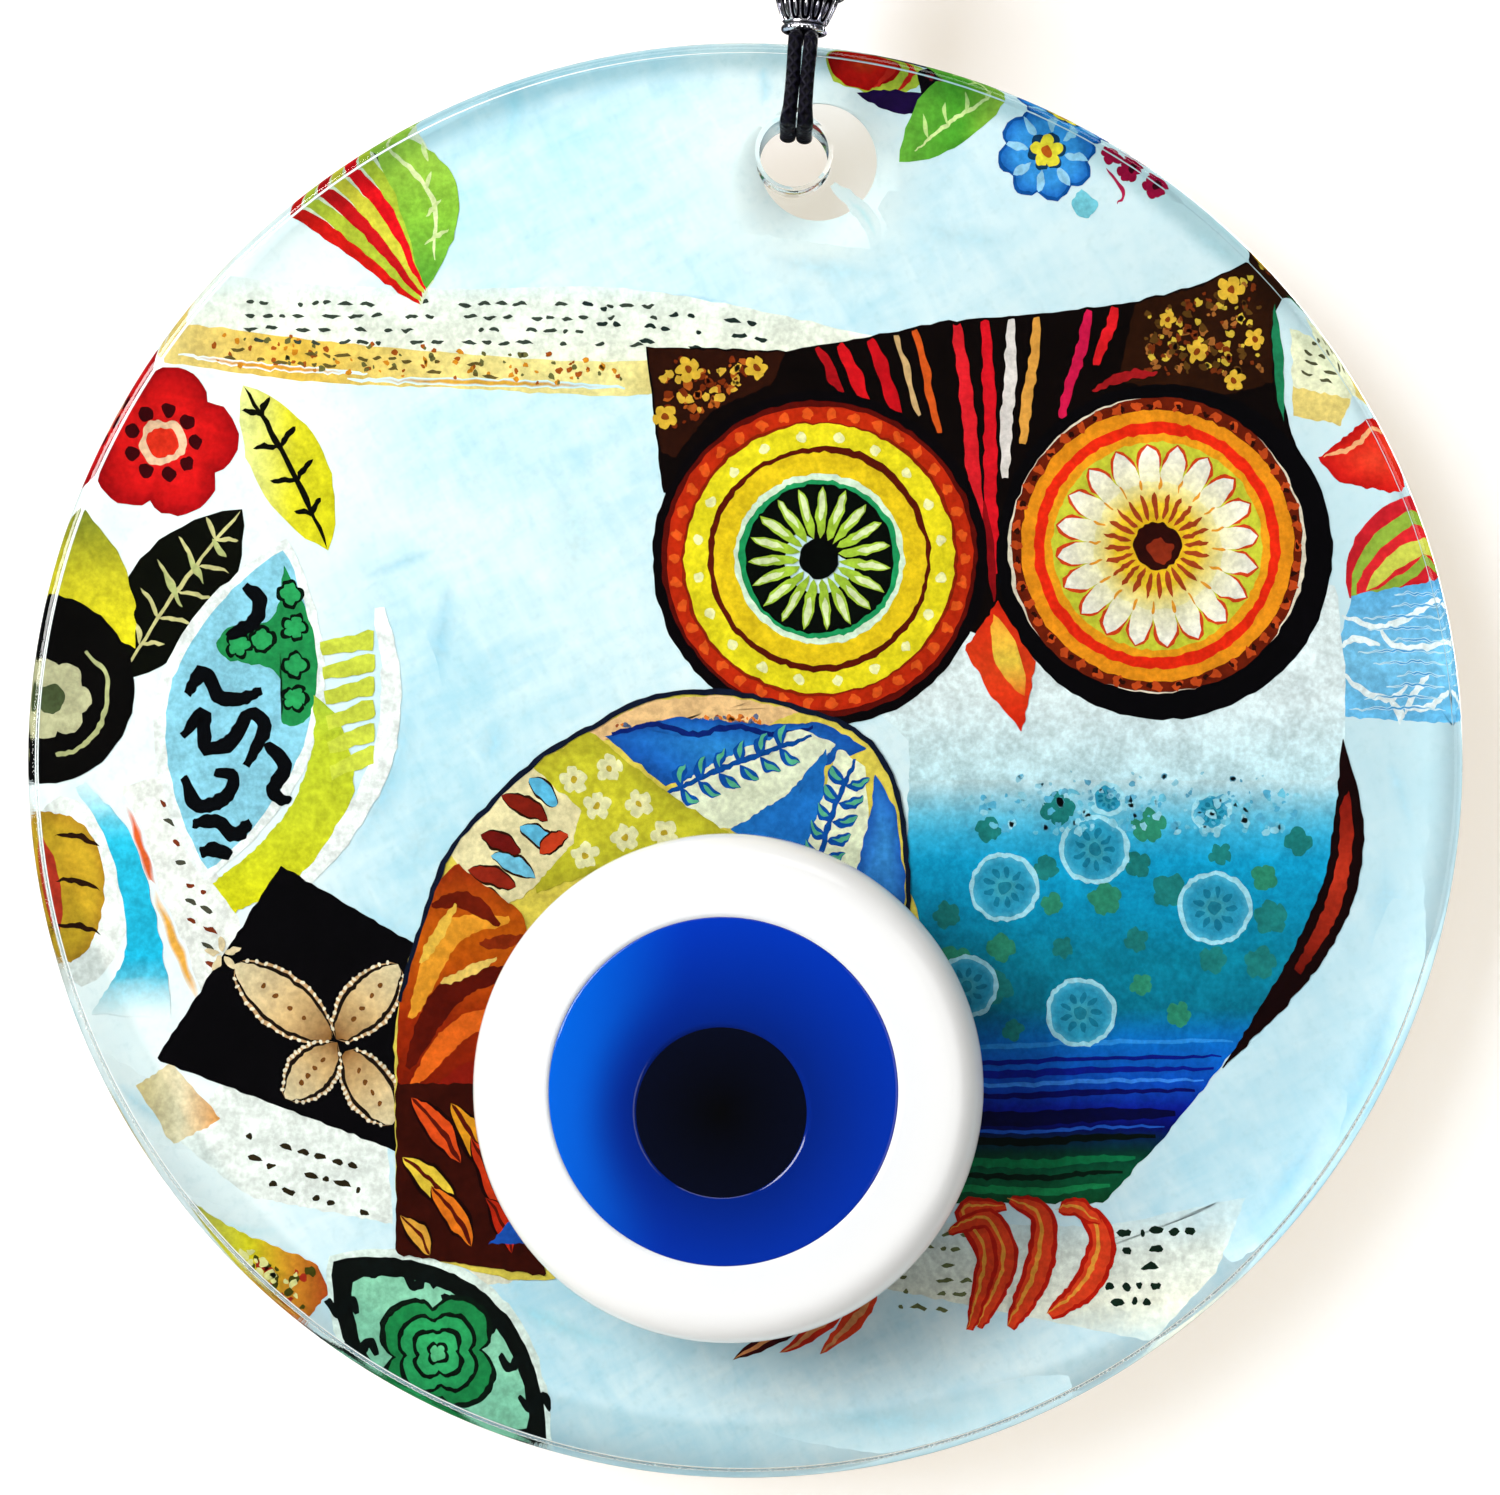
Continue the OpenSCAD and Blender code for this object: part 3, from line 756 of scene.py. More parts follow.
lay("print_pages", cut([(-30, -49.2), (-20, -47), (-17, -51.6), (-26, -53)]), "#f5f3dc")
dashes("print_pages", (-28, -48.9), (9, 1.2), (0.8, -3.4), 3, "#33352a", 0.4)


# %% Leaves and flowers


def veined(piece, tip, end, half, fill, ink, pairs, bend=0.0, rib=0.55):
    """A leaf with a midrib and pairs of slanting veins."""
    tip, end = np.array(tip, float), np.array(end, float)
    lay(piece, lens(tip, end, half, bend), fill)
    way = unit(end - tip)
    square = np.array([-way[1], way[0]])
    reach = np.linalg.norm(end - tip)
    lay(piece, lens(tip + 0.2 * way, end - 0.2 * way, rib / 2, bend, 0.3), ink)
    veins = []
    for k in range(pairs):
        t = 0.2 + 0.6 * k / max(pairs - 1, 1)
        foot = tip + way * reach * t + square * bend * np.sin(np.pi * t)
        for side in (-1, 1):
            point = foot + side * square * half * 0.72 * np.sin(np.pi * t) - way * reach * 0.07
            veins.append(lens(foot, point, rib * 0.55, side * 0.2, 0.5, 8))
    lay(piece, veins, ink)


flower = np.array([-58.7, 32.1])
lay("print_flowers", lobed(flower, 7.7, 5, 0.24, 1.35), radial([(0, "#e01c1c"), (0.8, "#d41414"), (1, "#a00a10")]))
lay("print_flowers", [disc_at(flower + 3.3 * np.array([np.cos(a), np.sin(a)]), 0.75, uneven=0.1, count=16) for a in np.arange(9) * 0.698], "#3a0408")
lay("print_flowers", disc_at(flower, 2.35, uneven=0.12, seed=3), "#f3c9a4")
lay("print_flowers", disc_at(flower, 1.6, uneven=0.14, seed=8), "#e8321c")
veined("print_leaves", (-50.6, 38), (-41.9, 21.2), 3.7, shade_by(0, [(-51, "#e9ee9a"), (-46, "#e4dc2a"), (-42, "#d9d21c")]), "#0c0c04", 4, 0.4)
veined("print_leaves", (-50.7, 25.4), (-63.2, 8), 4.9, "#080a04", "#cfc98a", 5, -0.5, 0.4)
lay("print_leaves", [lens((-56.6 + 2.2 * k, 15.4 + 2.5 * k), (-58.6 + 2.4 * k, 19.2 + 1.6 * k), 0.32, 0.1) for k in range(3)], "#b8bf7c")
lay("print_rim", cut([(-66.5, 25.4), (-62.8, 20.5), (-61.4, 15.5), (-61.5, 11.2), (-67, 15), (-72, 18)]), shade_by(1, [(10, "#f0e41a"), (18, "#d9cf2a"), (25, "#7f8a2c")]))
lay("print_rim", disc_at((-71.1, 7.2), 9.6, seed=4), "#070605")
lay("print_rim", lobed((-70, 6.2), 4.1, 7, 0.2), "#c9c79c")
lay("print_rim", disc_at((-70, 6.2), 1.5), "#4d5a38")
lay("print_rim", stroke([(-66.5, 11), (-64.4, 8.5), (-64.6, 4.5), (-66.5, 1.6), (-69.5, 0.4)], 0.45, 0), "#b9bd84")

# the tall leaf: pale blue with black scrolls, a green half, and a lime crescent beside it
lay("print_leaves", lens((-46.2, 22.4), (-54.6, -12.2), 8.4, -0.6, 0.85, 40), "#f7fdfb")
lay("print_leaves", lens((-46.5, 21.2), (-54.2, -11), 7.2, -0.6, 0.85, 40), "#8fd3ea")
lay("print_leaves", cut([(-46.4, 19.6), (-43.4, 12.6), (-43.5, 5.2), (-46.4, 3.6), (-47.2, 8.8), (-52.6, 10.4), (-52.4, 13.2), (-47.6, 14.4)], smooth=True), "#23904e")
for k, (u, v) in enumerate([(-45.8, 16.8), (-45.4, 13.4), (-48.6, 12.2), (-51, 11.6), (-45.3, 9.6), (-45.3, 6.2)]):
    lay("print_leaves", lobed((u, v), 1.5, 4 + k % 2, 0.3), "#06170c")
    lay("print_leaves", lobed((u, v), 1.1, 4 + k % 2, 0.3), "#2ca45c")
SCROLLS = [[(-50.4, 17.6), (-48.9, 16.2), (-49.6, 13.9), (-52.2, 12.4)], [(-56.2, 6.6), (-54.6, 8.9), (-52.9, 6.4), (-51, 6.2), (-48.6, 7)],
           [(-56.6, 2.4), (-54.5, 4.8), (-54.4, 1.4), (-51.8, 1.8), (-50, 4.6), (-48.4, 3.4), (-50.2, -0.6)],
           [(-48.2, 1.8), (-46.4, -0.6), (-47.6, -3.2), (-45.8, -4.2)], [(-56.6, -1.8), (-55, -4.6), (-52.2, -3.6), (-51.6, -1.6), (-53.4, -1.2)],
           [(-55.8, -6.4), (-53.2, -6.2), (-51.4, -7.6), (-49.8, -6.2)], [(-54.9, -9.4), (-53.2, -9), (-51.8, -9.8)]]
for points in SCROLLS:
    lay("print_leaves", stroke(points, 1.5, 0.25), "#05070a")
lay("print_leaves", between([(-43.4, 6.6), (-43.6, 1), (-45.6, -4.4), (-49.4, -9), (-53.6, -12.4)], [(-41, 4.6), (-39.3, -1.6), (-40.6, -6.4), (-45.2, -12), (-51.4, -15.4)]),
    shade_by(1, [(-15, "#e2df18"), (-6, "#cfd62c"), (2, "#c6d430"), (7, "#a8c83c")]))
lay("print_leaves", stroke([(-36.8, 15.4), (-35.6, 8), (-36.6, 0), (-40.5, -7.6), (-45.6, -13.6)], 2.2, 0.3), "#f9fefc")
lay("print_leaves", [cut([(-42.8 + 0.2 * k, 11.9 - 2.5 * k), (-37.4, 13.2 - 2.3 * k), (-37.2, 11.2 - 2.3 * k), (-42.6 + 0.2 * k, 10.6 - 2.5 * k)], count=20, rows=3) for k in range(6)], "#d3dc48")

# top left: a striped leaf cut by the rim, with a green half
lay("print_rim", cut([(-48, 58), (-40, 64), (-33, 63.6), (-29.8, 58), (-29.4, 53), (-32.5, 45.8), (-38, 49.8), (-43.5, 53.6)]), "#e9f0cf")
STRIPES = ["#d41a14", "#b9c83a", "#c8161a", "#d8d040", "#e8141c", "#b8cc3c", "#0d0a1c"]
for k, ink in enumerate(STRIPES):
    start = np.array([-46.4 + 1.5 * k, 55.4 + 1.15 * k])
    lay("print_rim", lens(start + [-1.8, 1.8], (-32.6 + 0.12 * k, 46 + 0.35 * k), 0.75, 0.5 + 0.22 * k, 0.35, 24), ink)
lay("print_rim", lens((-38.4, 64.5), (-32, 47.6), 3.1, 3.4, 0.8, 30), shade_by(1, [(46, "#4fa436"), (55, "#8cc63c"), (64, "#a8d04c")]))
lay("print_rim", stroke([(-36.8, 62.6), (-31.6, 57), (-31.2, 50.5)], 0.5), "#e4efb0")
lay("print_rim", [lens((-32.2 + 0.1 * k, 52 + 2.8 * k), (-29.8 - 0.9 * k, 53.6 + 2.9 * k), 0.24) for k in range(4)], "#d7e8a0")

# top right: scraps round the hole
lay("print_rim", cut([(8, 72), (20.5, 72), (19.4, 68.6), (14.4, 66.6), (8.9, 68.4)]), "#b4c83c")
lay("print_rim", cut([(7.8, 72.6), (15.8, 72), (15.6, 69.2), (12.4, 67.6), (9.4, 68.8)], smooth=True), radial([(0, "#e64a1a"), (0.5, "#d81a10"), (1, "#a80c0a")]))
lay("print_rim", [lens((17 + 1.8 * k, 72), (13 + 2.4 * k, 67.6 - 0.3 * k), 0.35, 0.1) for k in range(3)], "#d42a1c")
lay("print_rim", lens((11.4, 67.2), (20.6, 66.2), 1.15, -0.4), "#1c0a3c")
lay("print_rim", cut([(17.2, 72), (23.8, 70), (23, 66.6), (17.8, 67)]), "#0b060c")
lay("print_rim", [lobed((18.8 + 1.6 * k, 69.4 - 0.5 * k), 0.9, 5, 0.35) for k in range(3)], "#7c1a24")
lay("print_rim", lens((27.6, 69.6), (15.6, 60.2), 3.3, -0.8, 0.85), shade_by(0, [(15, "#6db43c"), (22, "#4ca42c"), (27, "#a9cf4a")]))
lay("print_rim", stroke([(26.2, 67.6), (21.5, 64.8), (17.2, 61.4)], 0.4), "#d9eea0")
lay("print_rim", [lens((18.6 + 1.9 * k, 62.6 + 1.3 * k), (18 + 2.2 * k, 65.2 + 1.1 * k), 0.2) for k in range(4)], "#c6e48c")
blue = np.array([30.5, 61.3])
lay("print_flowers", lobed(blue, 5.0, 8, 0.2, 0.2), "#12509c")
lay("print_flowers", lobed(blue, 4.6, 8, 0.2, 0.2), radial([(0, "#2f8fe0"), (0.7, "#3a9ae8"), (1, "#1f6cc4")]))
lay("print_flowers", petals(blue, 1.9, 4.2, 0.42, 8, 0.6), "#9ad4f4")
lay("print_flowers", lobed(blue, 2.0, 6, 0.35, 0.1), "#123a5c")
lay("print_flowers", lobed(blue, 1.7, 5, 0.4, 0.3), "#ece03a")
lay("print_flowers", disc_at(blue, 0.55), "#c05a1a")
for u, v in ((37.2, 61.2), (41.4, 57.8), (38.8, 59.4)):
    lay("print_flowers", lobed((u, v), 1.25, 6, 0.2), "#a4103c")
    lay("print_flowers", disc_at((u + 0.2, v + 0.1), 0.4), "#3c0414")
lay("print_flowers", stroke([(36.6, 59.6), (38.2, 57), (37.6, 56)], 0.45), "#b4204c")
lay("print_flowers", cut([(34, 57.6), (35.6, 56), (34.4, 54.6), (33, 56)], smooth=True), "#74c6d8")

# right rim
lay("print_rim", cut([(57.8, 30.4), (62.8, 34.4), (66.8, 33), (68, 27.6), (65.4, 26.9), (59.8, 28)]), radial([(0, "#f0442a"), (0.6, "#e0281a"), (1, "#c41414")]))
lay("print_rim", stroke([(58.4, 30.6), (61.4, 31.6), (63.6, 34)], 0.5), "#f4b07a")
lay("print_rim", lens((70.2, 26.6), (60.9, 16.4), 4.4, 0.6, 0.7), "#c9202a")
lay("print_rim", lens((70.2, 25.4), (61.2, 16.6), 2.9, 0.2, 0.6), "#8fae3c")
lay("print_rim", lens((70.6, 24.4), (61.6, 16.8), 1.7, -0.2, 0.6), "#d8262c")
lay("print_rim", lens((71, 22.4), (62.6, 17), 0.9, -1.0, 0.6), "#c8cc50")
lay("print_rim", cut([(61.2, 16.6), (71.6, 18.4), (72.6, 3.6), (60.2, 4.4), (59.4, 10)]), shade_by(1, [(3, "#63b8ea"), (10, "#7cc8f0"), (18, "#5fb2e6")]))
CURLS = [[(60.2, 14.6), (64, 13.4), (67.6, 14.8), (70.6, 17)], [(64, 13.4), (65.4, 11.6), (68.8, 11.4), (71.6, 12.6)], [(60.4, 8.6), (62.6, 6.8), (65, 6.2), (66.8, 7.4)],
         [(65, 6.2), (66, 4.6), (66, 3.6)], [(66.4, 4.6), (67.4, 6.6), (68.8, 8.6)], [(66.4, 5.2), (69, 5.4), (71, 7)], [(60, 11.4), (61.6, 12.2), (64, 11.6)]]
for points in CURLS:
    lay("print_rim", stroke(points, 0.7, 0.5), "#eefafc")
for k in range(11):
    v = 16.6 - 1.15 * k
    lay("print_rim", stroke([(61 + dice.uniform(0, 5), v), (66 + dice.uniform(0, 2), v + 0.2), (70.6, v - 0.1)], 0.3), "#3f9bd8", soft=True)

# left and lower rim
lay("print_rim", lens((-69, -3.6), (-66.8, -23), 5.6, 0.6, 0.6, 30), "#f7fcf8")
lay("print_rim", cut([(-72.6, -5), (-67.8, -5.8), (-65.2, -9), (-64.6, -14), (-66.2, -19), (-68.8, -20.4), (-70.4, -19)], smooth=True), radial([(0, "#d9a82a"), (0.7, "#d8b02c"), (1, "#b88a24")]))
lay("print_rim", lens((-70.8, -7.8), (-69.6, -19), 1.7, -0.4), "#c43a26")
lay("print_rim", [lens((-69.6, -7.6 - 4.6 * k), (-65, -8.8 - 4.4 * k), 0.3, 0.5) for k in range(3)], "#2c1608")
lay("print_rim", between([(-66.5, -2.2), (-62.2, -7), (-59.8, -14), (-58.2, -22), (-57.8, -26)], [(-67.4, -2.8), (-64.4, -8), (-62.6, -15), (-62.6, -20), (-66, -25.6)]), shade_by(1, [(-26, "#8fe4f2", 0.4), (-20, "#1fb8e0"), (-8, "#2cc4e8"), (-2, "#a4e8f4", 0.5)]))
lay("print_rim", cut([(-61.4, -32.8), (-57.8, -30.6), (-52.8, -36.2), (-57.6, -38.8)]), shade_by(0, [(-62, "#d8c07c"), (-57, "#f2e6c0"), (-53, "#e8a050")]))
lay("print_rim", cut([(-56, -44.5), (-51.3, -47.4), (-43, -50.8), (-41.8, -53.6), (-45, -57.4), (-50, -54), (-55, -48)]), shade_by(0, [(-56, "#cfd060"), (-50, "#e8dc24"), (-46, "#e89a2c"), (-42, "#b8441c")]))
specks("print_rim", [(-52, -48), (-43, -51.5), (-44, -56), (-51, -53)], 16, (0.2, 0.55), ["#b8301c", "#4d4a12", "#f4ee9c"])
lay("print_leaves", lens((-41.8, -50), (-19.8, -69.6), 8.5, 0, 0.75, 40), "#eafaf2")
lay("print_leaves", lens((-41.4, -50.6), (-20.2, -69), 7.6, 0, 0.75, 40), "#0a0f0c")
lay("print_leaves", lens((-39.4, -52.6), (-22, -67.4), 6.0, 0, 0.7, 40), "#8fd6b4")
for side in (-1, 1):
    for k in range(6):
        t = 0.12 + 0.15 * k
        foot = np.array([-41.4, -50.6]) + t * np.array([21.2, -18.4]) + side * np.array([0.655, 0.755]) * 5.6 * np.sin(np.pi * t) ** 0.75
        lay("print_leaves", stroke([foot + [-1.5, 0.4], foot + [-0.4, -0.9], foot + [0.8, 0.3], foot + [1.6, -1.0]], 1.0, 0.3), "#0b1210")
heart = np.array([-30.9, -59.8])
lay("print_leaves", lobed(heart, 6.6, 4, 0.34, 0.86, 90), "#0a1a10")
lay("print_leaves", lobed(heart, 6.0, 4, 0.34, 0.86, 90), "#1f8a4a")
for ring_r, ink in ((4.6, "#08180e"), (4.1, "#2ba45e"), (2.9, "#08180e"), (2.4, "#37b56c"), (1.3, "#08180e"), (0.9, "#5fc688")):
    lay("print_leaves", lobed(heart, ring_r, 4, 0.3, 0.86), ink)

# %% Card
CARD = [(-46.7, -10.6), (-33, -18.7), (-34.6, -39.6), (-59.4, -30.2)]
lay("print_card", cut(CARD, uneven=0.004), "#050406")
wings = [((-51.4, -20.6), (-41.6, -28.2), 2.9), ((-34.8, -20.6), (-41.2, -28.2), 2.7), ((-46.2, -34.2), (-41, -28.6), 2.6), ((-35.4, -36.8), (-40.2, -29.2), 2.6)]
for tip, end, half in wings:
    lay("print_card", lens(tip, end, half, 0, 0.6, 24), "#caa070")
    lay("print_card", lens(tip, end, half - 0.35, 0, 0.6, 24), "#1c120c")
    lay("print_card", lens(tip, end, half - 0.75, 0, 0.65, 24), radial([(0, "#ead9ae"), (0.6, "#dcb880"), (1, "#8f5e2c")]))
    outline = lens(tip, end, half - 0.12, 0, 0.6, 16)
    dots = [disc_at(point, 0.2, count=8, rows=2) for point in np.vstack([outline[1:-1, 0], outline[1:-1, -1]])]
    lay("print_card", dots, "#f6ecd2")
    way = (np.array(end) - tip) / 7
    lay("print_card", [disc_at(np.array(tip) + way * k, 0.28, count=8, rows=2) for k in range(2, 6)], "#7c4a20")
lay("print_card", petals(np.array([-52.6, -19.6]), 0.2, 1.9, 0.35, 5, 0.4), "#e6d2a8")

# %% [markdown]
# ### The owl
# The owl is a made-up one: a band of cloth for its head, two wheels for its eyes, a pale breast
# that turns to deep water, and a patchwork wing that the glass eye partly covers. The eyes are
# stacks of rings, and their petals are a ring of lenses.

# %% Owl head and breast
lay("print_owl_body", cut([(10, 8), (20, 16), (50, 20), (59.6, 17.5), (60.6, 8), (60.4, 0), (56, -4.5), (40, -7), (16.8, -8), (16.6, 2)], (40, 2)),
    shade_by(1, [(-9, "#8fd0e6", 0.2), (-5, "#b0e0ee", 0.8), (-1, "#cdeef6"), (6, "#e8f7fa"), (20, "#eefafa")]))
v = np.linspace(-2, -44.6, 90)
right_u = np.interp(-v, [2, 8, 14.1, 22, 30.4, 38, 44.6], [60.6, 60.8, 59.5, 54.8, 48.3, 42.2, 36.1])
left_u = np.interp(-v, [2, 12, 20, 44.6], [16.6, 16.4, 6, 0])
belly = np.stack([left_u[:, None] + (right_u - left_u)[:, None] * np.linspace(0, 1, 60), np.broadcast_to(v[:, None], (90, 60))], -1)
WATER = [(-44.6, "#0e4a28"), (-41.5, "#0a5a3a"), (-39.5, "#07382c"), (-37, "#050a60"), (-35, "#0a1c98"), (-32, "#0a50c4"), (-28.5, "#0b6cc8"), (-25, "#0a7894"),
         (-20, "#0a84a0"), (-15, "#0a92bc"), (-10, "#12a6d8"), (-7.5, "#35b0da"), (-5.6, "#62c2e2"), (-4, "#93d3e8"), (-2, "#c9e7ee")]
lay("print_owl_body", belly, shade_by(1, WATER))
for height, width, ink in ((-28.6, 0.5, "#2a8ce0"), (-30.2, 0.45, "#0a1a84"), (-31.4, 0.7, "#0c1c90"), (-32.5, 0.4, "#3a8af0"), (-33.6, 0.6, "#080c60"), (-35.9, 1.5, "#04063c"),
                           (-37.2, 0.35, "#2058c8"), (-38.2, 0.8, "#03100c"), (-40.4, 0.9, "#0e7a48"), (-41.8, 0.6, "#052014"), (-43.2, 0.8, "#17864c")):
    reach = np.interp(-height, [28, 30.4, 38, 44.6], [49.6, 48.0, 41.6, 35.6])
    start = 23 - 0.5 * (height + 28)
    lay("print_owl_body", stroke([(start - 14, height + 0.3), (start, height - 0.25), (0.5 * (start + reach), height + 0.2), (reach, height + 0.35)], width, 0.35), ink)
CLOUDS = [(25.9, -18.9), (32.1, -18.9), (39.5, -18.1), (36.4, -14), (42.8, -13.1), (47.2, -20.1), (31, -14.5), (30.4, -10.8), (31.6, -4.9), (40.7, -6.6),
          (39.7, -10.5), (48, -9.5), (52.4, -11.8), (53, -15.8), (25.4, -22.9), (43.8, -25.6), (27.1, -27.2), (20.4, -15.6), (21.2, -20.4), (52, -20.4), (24.6, -7), (40, -22.6), (55.8, -8.2)]
for k, place in enumerate(CLOUDS):
    lay("print_owl_body", lobed(place, 1.5 + 0.35 * np.sin(5 * k), 4 + k % 2, 0.3, k), "#1f7f7c" if k % 3 else "#2f8f70")
RINGS = [(26.2, -12.8, 3.3), (35.3, -9, 3.3), (47.4, -14.9, 3.5), (33.9, -25.4, 3.3), (22.4, -22.8, 3.0), (47.1, -5.2, 1.8), (36.6, -3.9, 1.5)]
for u, v, r in RINGS:
    lay("print_owl_body", disc_at((u, v), r, rows=5, count=40), radial([(0, "#4fa9a8"), (0.35, "#2f9cbc"), (0.9, "#2a9cc4"), (1, "#54b8d8")]))
    lay("print_owl_body", disc_at((u, v), r + 0.22, r - 0.22, 0.025, 2), "#a6e2f2")
    lay("print_owl_body", petals(np.array([u, v]), r * 0.3, r * 0.66, r * 0.09, 9), "#1a7c9c")
    lay("print_owl_body", disc_at((u, v), r * 0.2, count=12), "#1f7f98")
specks("print_owl_body", [(20, -3), (58, -3), (58, -7.5), (20, -7.5)], 50, (0.12, 0.5), ["#6cc4e0", "#58b4d8", "#93d6ea"])
specks("print_owl_body", [(26, -1), (54, -1), (54, -4), (26, -4)], 26, (0.1, 0.35), ["#8fcbe0", "#5fa9c8"])
lay("print_owl_body", between([(60.3, 2.2), (62.3, -6), (61.3, -14.1), (56.7, -22.3), (48.2, -31)], [(60.2, 2.0), (59, -9), (57.2, -15.1), (54, -21.4), (48.1, -31)]), "#160404")
lay("print_owl_body", between([(60.9, -3), (61.3, -8), (60, -15), (56, -21.6)], [(60.1, -4), (59.7, -9.5), (58.2, -15.2), (55.4, -21)]), shade_by(1, [(-22, "#5c0c06"), (-12, "#c4341c"), (-3, "#7c140c")]))

HEAD = [(-9.9, 41.7), (4.1, 41.3), (12, 42.6), (20.1, 44.2), (30, 45), (39.1, 46.1), (46, 47.9), (52.6, 51.2), (54.8, 47.8), (53.2, 44.5), (54.3, 36), (56.6, 28),
        (48, 24), (26.4, 12), (22.4, 13), (4, 24), (-8.2, 27)]
lay("print_owl_head", cut(HEAD, (24, 36), count=200), "#0a0403")
lay("print_owl_head", cut([(-9.7, 41.6), (4.1, 41.1), (3, 38), (-3, 35.4), (-7, 30.6), (-8.4, 31)]), "#2c1006")
lay("print_owl_head", cut([(39.4, 46), (46, 47.7), (52.4, 50.9), (54.6, 47.8), (53.1, 44), (53.2, 38), (46.4, 36.2), (37.6, 38.2)], (46, 42)), "#2a1205")
specks("print_owl_head", [(-9, 41), (2, 40.6), (-1, 37), (-7.6, 32)], 22, (0.15, 0.5), ["#b4581c", "#e0b23c", "#7a2c0c"])
specks("print_owl_head", [(39.6, 45.2), (52.4, 49.6), (52.8, 38.6), (39.6, 38.2)], 40, (0.14, 0.45), ["#d8b83c", "#a4642c", "#7a3210", "#5c3c14"])
for u, v, r in ((-5.6, 39.4, 1.3), (1.2, 39.6, 1.2), (-8, 34.6, 1.3), (49, 47.4, 1.4), (45.6, 41.2, 1.2), (51.4, 42.4, 1.1), (49.4, 38.2, 1.1), (42.6, 44.4, 0.9)):
    lay("print_owl_head", lobed((u, v), r, 5, 0.45, u), "#e6b93a")
    lay("print_owl_head", disc_at((u, v), r * 0.3, count=10), "#8a3c10")
CLOTH = [(7.4, "#b01018", 0.14, 1.0), (9.6, "#d8141c", 0.2, 1.3), (12.7, "#c8101a", 0.24, 1.3), (15.2, "#d9b27a", 0.24, 0.6), (17.2, "#d8581c", 0.3, 0.8), (21.4, "#e0202a", 0.66, 1.4),
         (24.3, "#dc1422", 0.72, 1.3), (26.9, "#e4dcd8", 0.45, 1.2), (29.5, "#e2a044", 0.36, 1.1), (34.8, "#d4174a", 0.3, 1.1), (37.4, "#e01c24", 0.16, 1.2)]
for u, ink, reach, width in CLOTH:
    top = np.array([u, np.interp(u, [4, 12, 20, 30, 39], [41.2, 42.4, 44, 44.8, 46]) - 0.15])
    foot = top + reach * (np.array([25.6, 9.0]) - top)
    lay("print_owl_head", stroke([top, top + 0.35 * (foot - top) + [0.15, 0], top + 0.7 * (foot - top) - [0.1, 0], foot], width, 0.22), ink)
lay("print_owl_head", stroke([(35.2, 37.2), (38, 38.6), (41.6, 39)], 1.0), "#a4181c")
lay("print_owl_head", stroke([(24.2, 26), (24.8, 21), (25.2, 16)], 0.9), "#8a0c12")
lay("print_owl_head", lens((53.4, 46), (54.2, 34.2), 0.5), "#1f7f54")

# %% Owl eyes
left_eye, right_eye = np.array([7.6, 20.3]), np.array([41.6, 21.6])
WHEEL = [(16.9, "#060305", 0.008), (15.9, "#5c0d06", 0.01), (15.4, "#c02a0c", 0.008), (13.9, "#8c2208", 0.012), (13.6, "#f0e020", 0.006), (11.3, "#5c1606", 0.02), (10.7, "#eecb1c", 0.012),
         (8.6, "#e0f6dc", 0.01), (8.0, "#1f9a5c", 0.02), (7.5, "#050a05", 0.015)]
for k, (r, ink, rough) in enumerate(WHEEL):
    lay("print_owl_eyes", disc_at(left_eye, r, max(r - 4, 0), rough, k, 120), ink)
lay("print_owl_eyes", [disc_at(left_eye + 14.6 * np.array([np.cos(a), np.sin(a)]), 0.55, uneven=0.4, seed=k, count=12, rows=2) for k, a in enumerate(np.arange(38) * 0.1653)], "#e8581c")
lay("print_owl_eyes", petals(left_eye, 11.8, 12.9, 0.55, 20, 0.15), "#faf7b4")
lay("print_owl_eyes", petals(left_eye, 2.0, 7.3, 0.52, 19, 0.2, 0.45), "#a8cc3c")
lay("print_owl_eyes", petals(left_eye, 3.8, 7.0, 0.3, 19, 0.2, 0.5), "#e2eeb8")
lay("print_owl_eyes", disc_at(left_eye, 2.0, uneven=0.04), "#030503")
lay("print_owl_eyes", disc_at(right_eye + [0.7, -0.6], 16.9, 8, 0.006, 3, 120), "#040305")
for k, (r, ink, rough) in enumerate([(14.9, "#eadfc8", 0.012), (14.8, "#6a1c08", 0.02), (13.7, "#f0941a", 0.006), (12.4, "#ee2a10", 0.008), (11.3, "#f4a01c", 0.01), (10.5, "#cfd23a", 0.01)]):
    lay("print_owl_eyes", disc_at(right_eye, r, max(r - 5, 0), rough, 20 + k, 120), ink)
lay("print_owl_eyes", [disc_at(right_eye + 14.2 * np.array([np.cos(a), np.sin(a)]), 0.5, uneven=0.5, seed=k, count=12, rows=2) for k, a in enumerate(np.arange(44) * 0.1428)], "#c4481a")
lay("print_owl_eyes", [disc_at(right_eye + 14.1 * np.array([np.cos(a), np.sin(a)]), 0.3, uneven=0.5, seed=k, count=10, rows=2) for k, a in enumerate(np.arange(31) * 0.2027)], "#2c0c04")
lay("print_owl_eyes", petals(right_eye, 6.6, 10.4, 1.25, 20, 0.1, 0.5), "#d8421c")
lay("print_owl_eyes", petals(right_eye, 4.6, 10.2, 1.12, 20, 0.1, 0.5), radial([(0, "#efe35a"), (0.35, "#f6f1c8"), (1, "#fdfaf0")]))
lay("print_owl_eyes", disc_at(right_eye, 6.4, 0, 0.03, 6, 80), radial([(0, "#e8a41c"), (0.6, "#f0c41c"), (0.85, "#f0dc4a"), (1, "#f4ecaa", 0.9)]))
lay("print_owl_eyes", petals(right_eye, 2.6, 5.4, 0.26, 24, 0.05, 0.4), "#a4401c")
lay("print_owl_eyes", petals(right_eye, 5.6, 7.0, 0.14, 20, 0.26, 0.4), "#e89a2c")
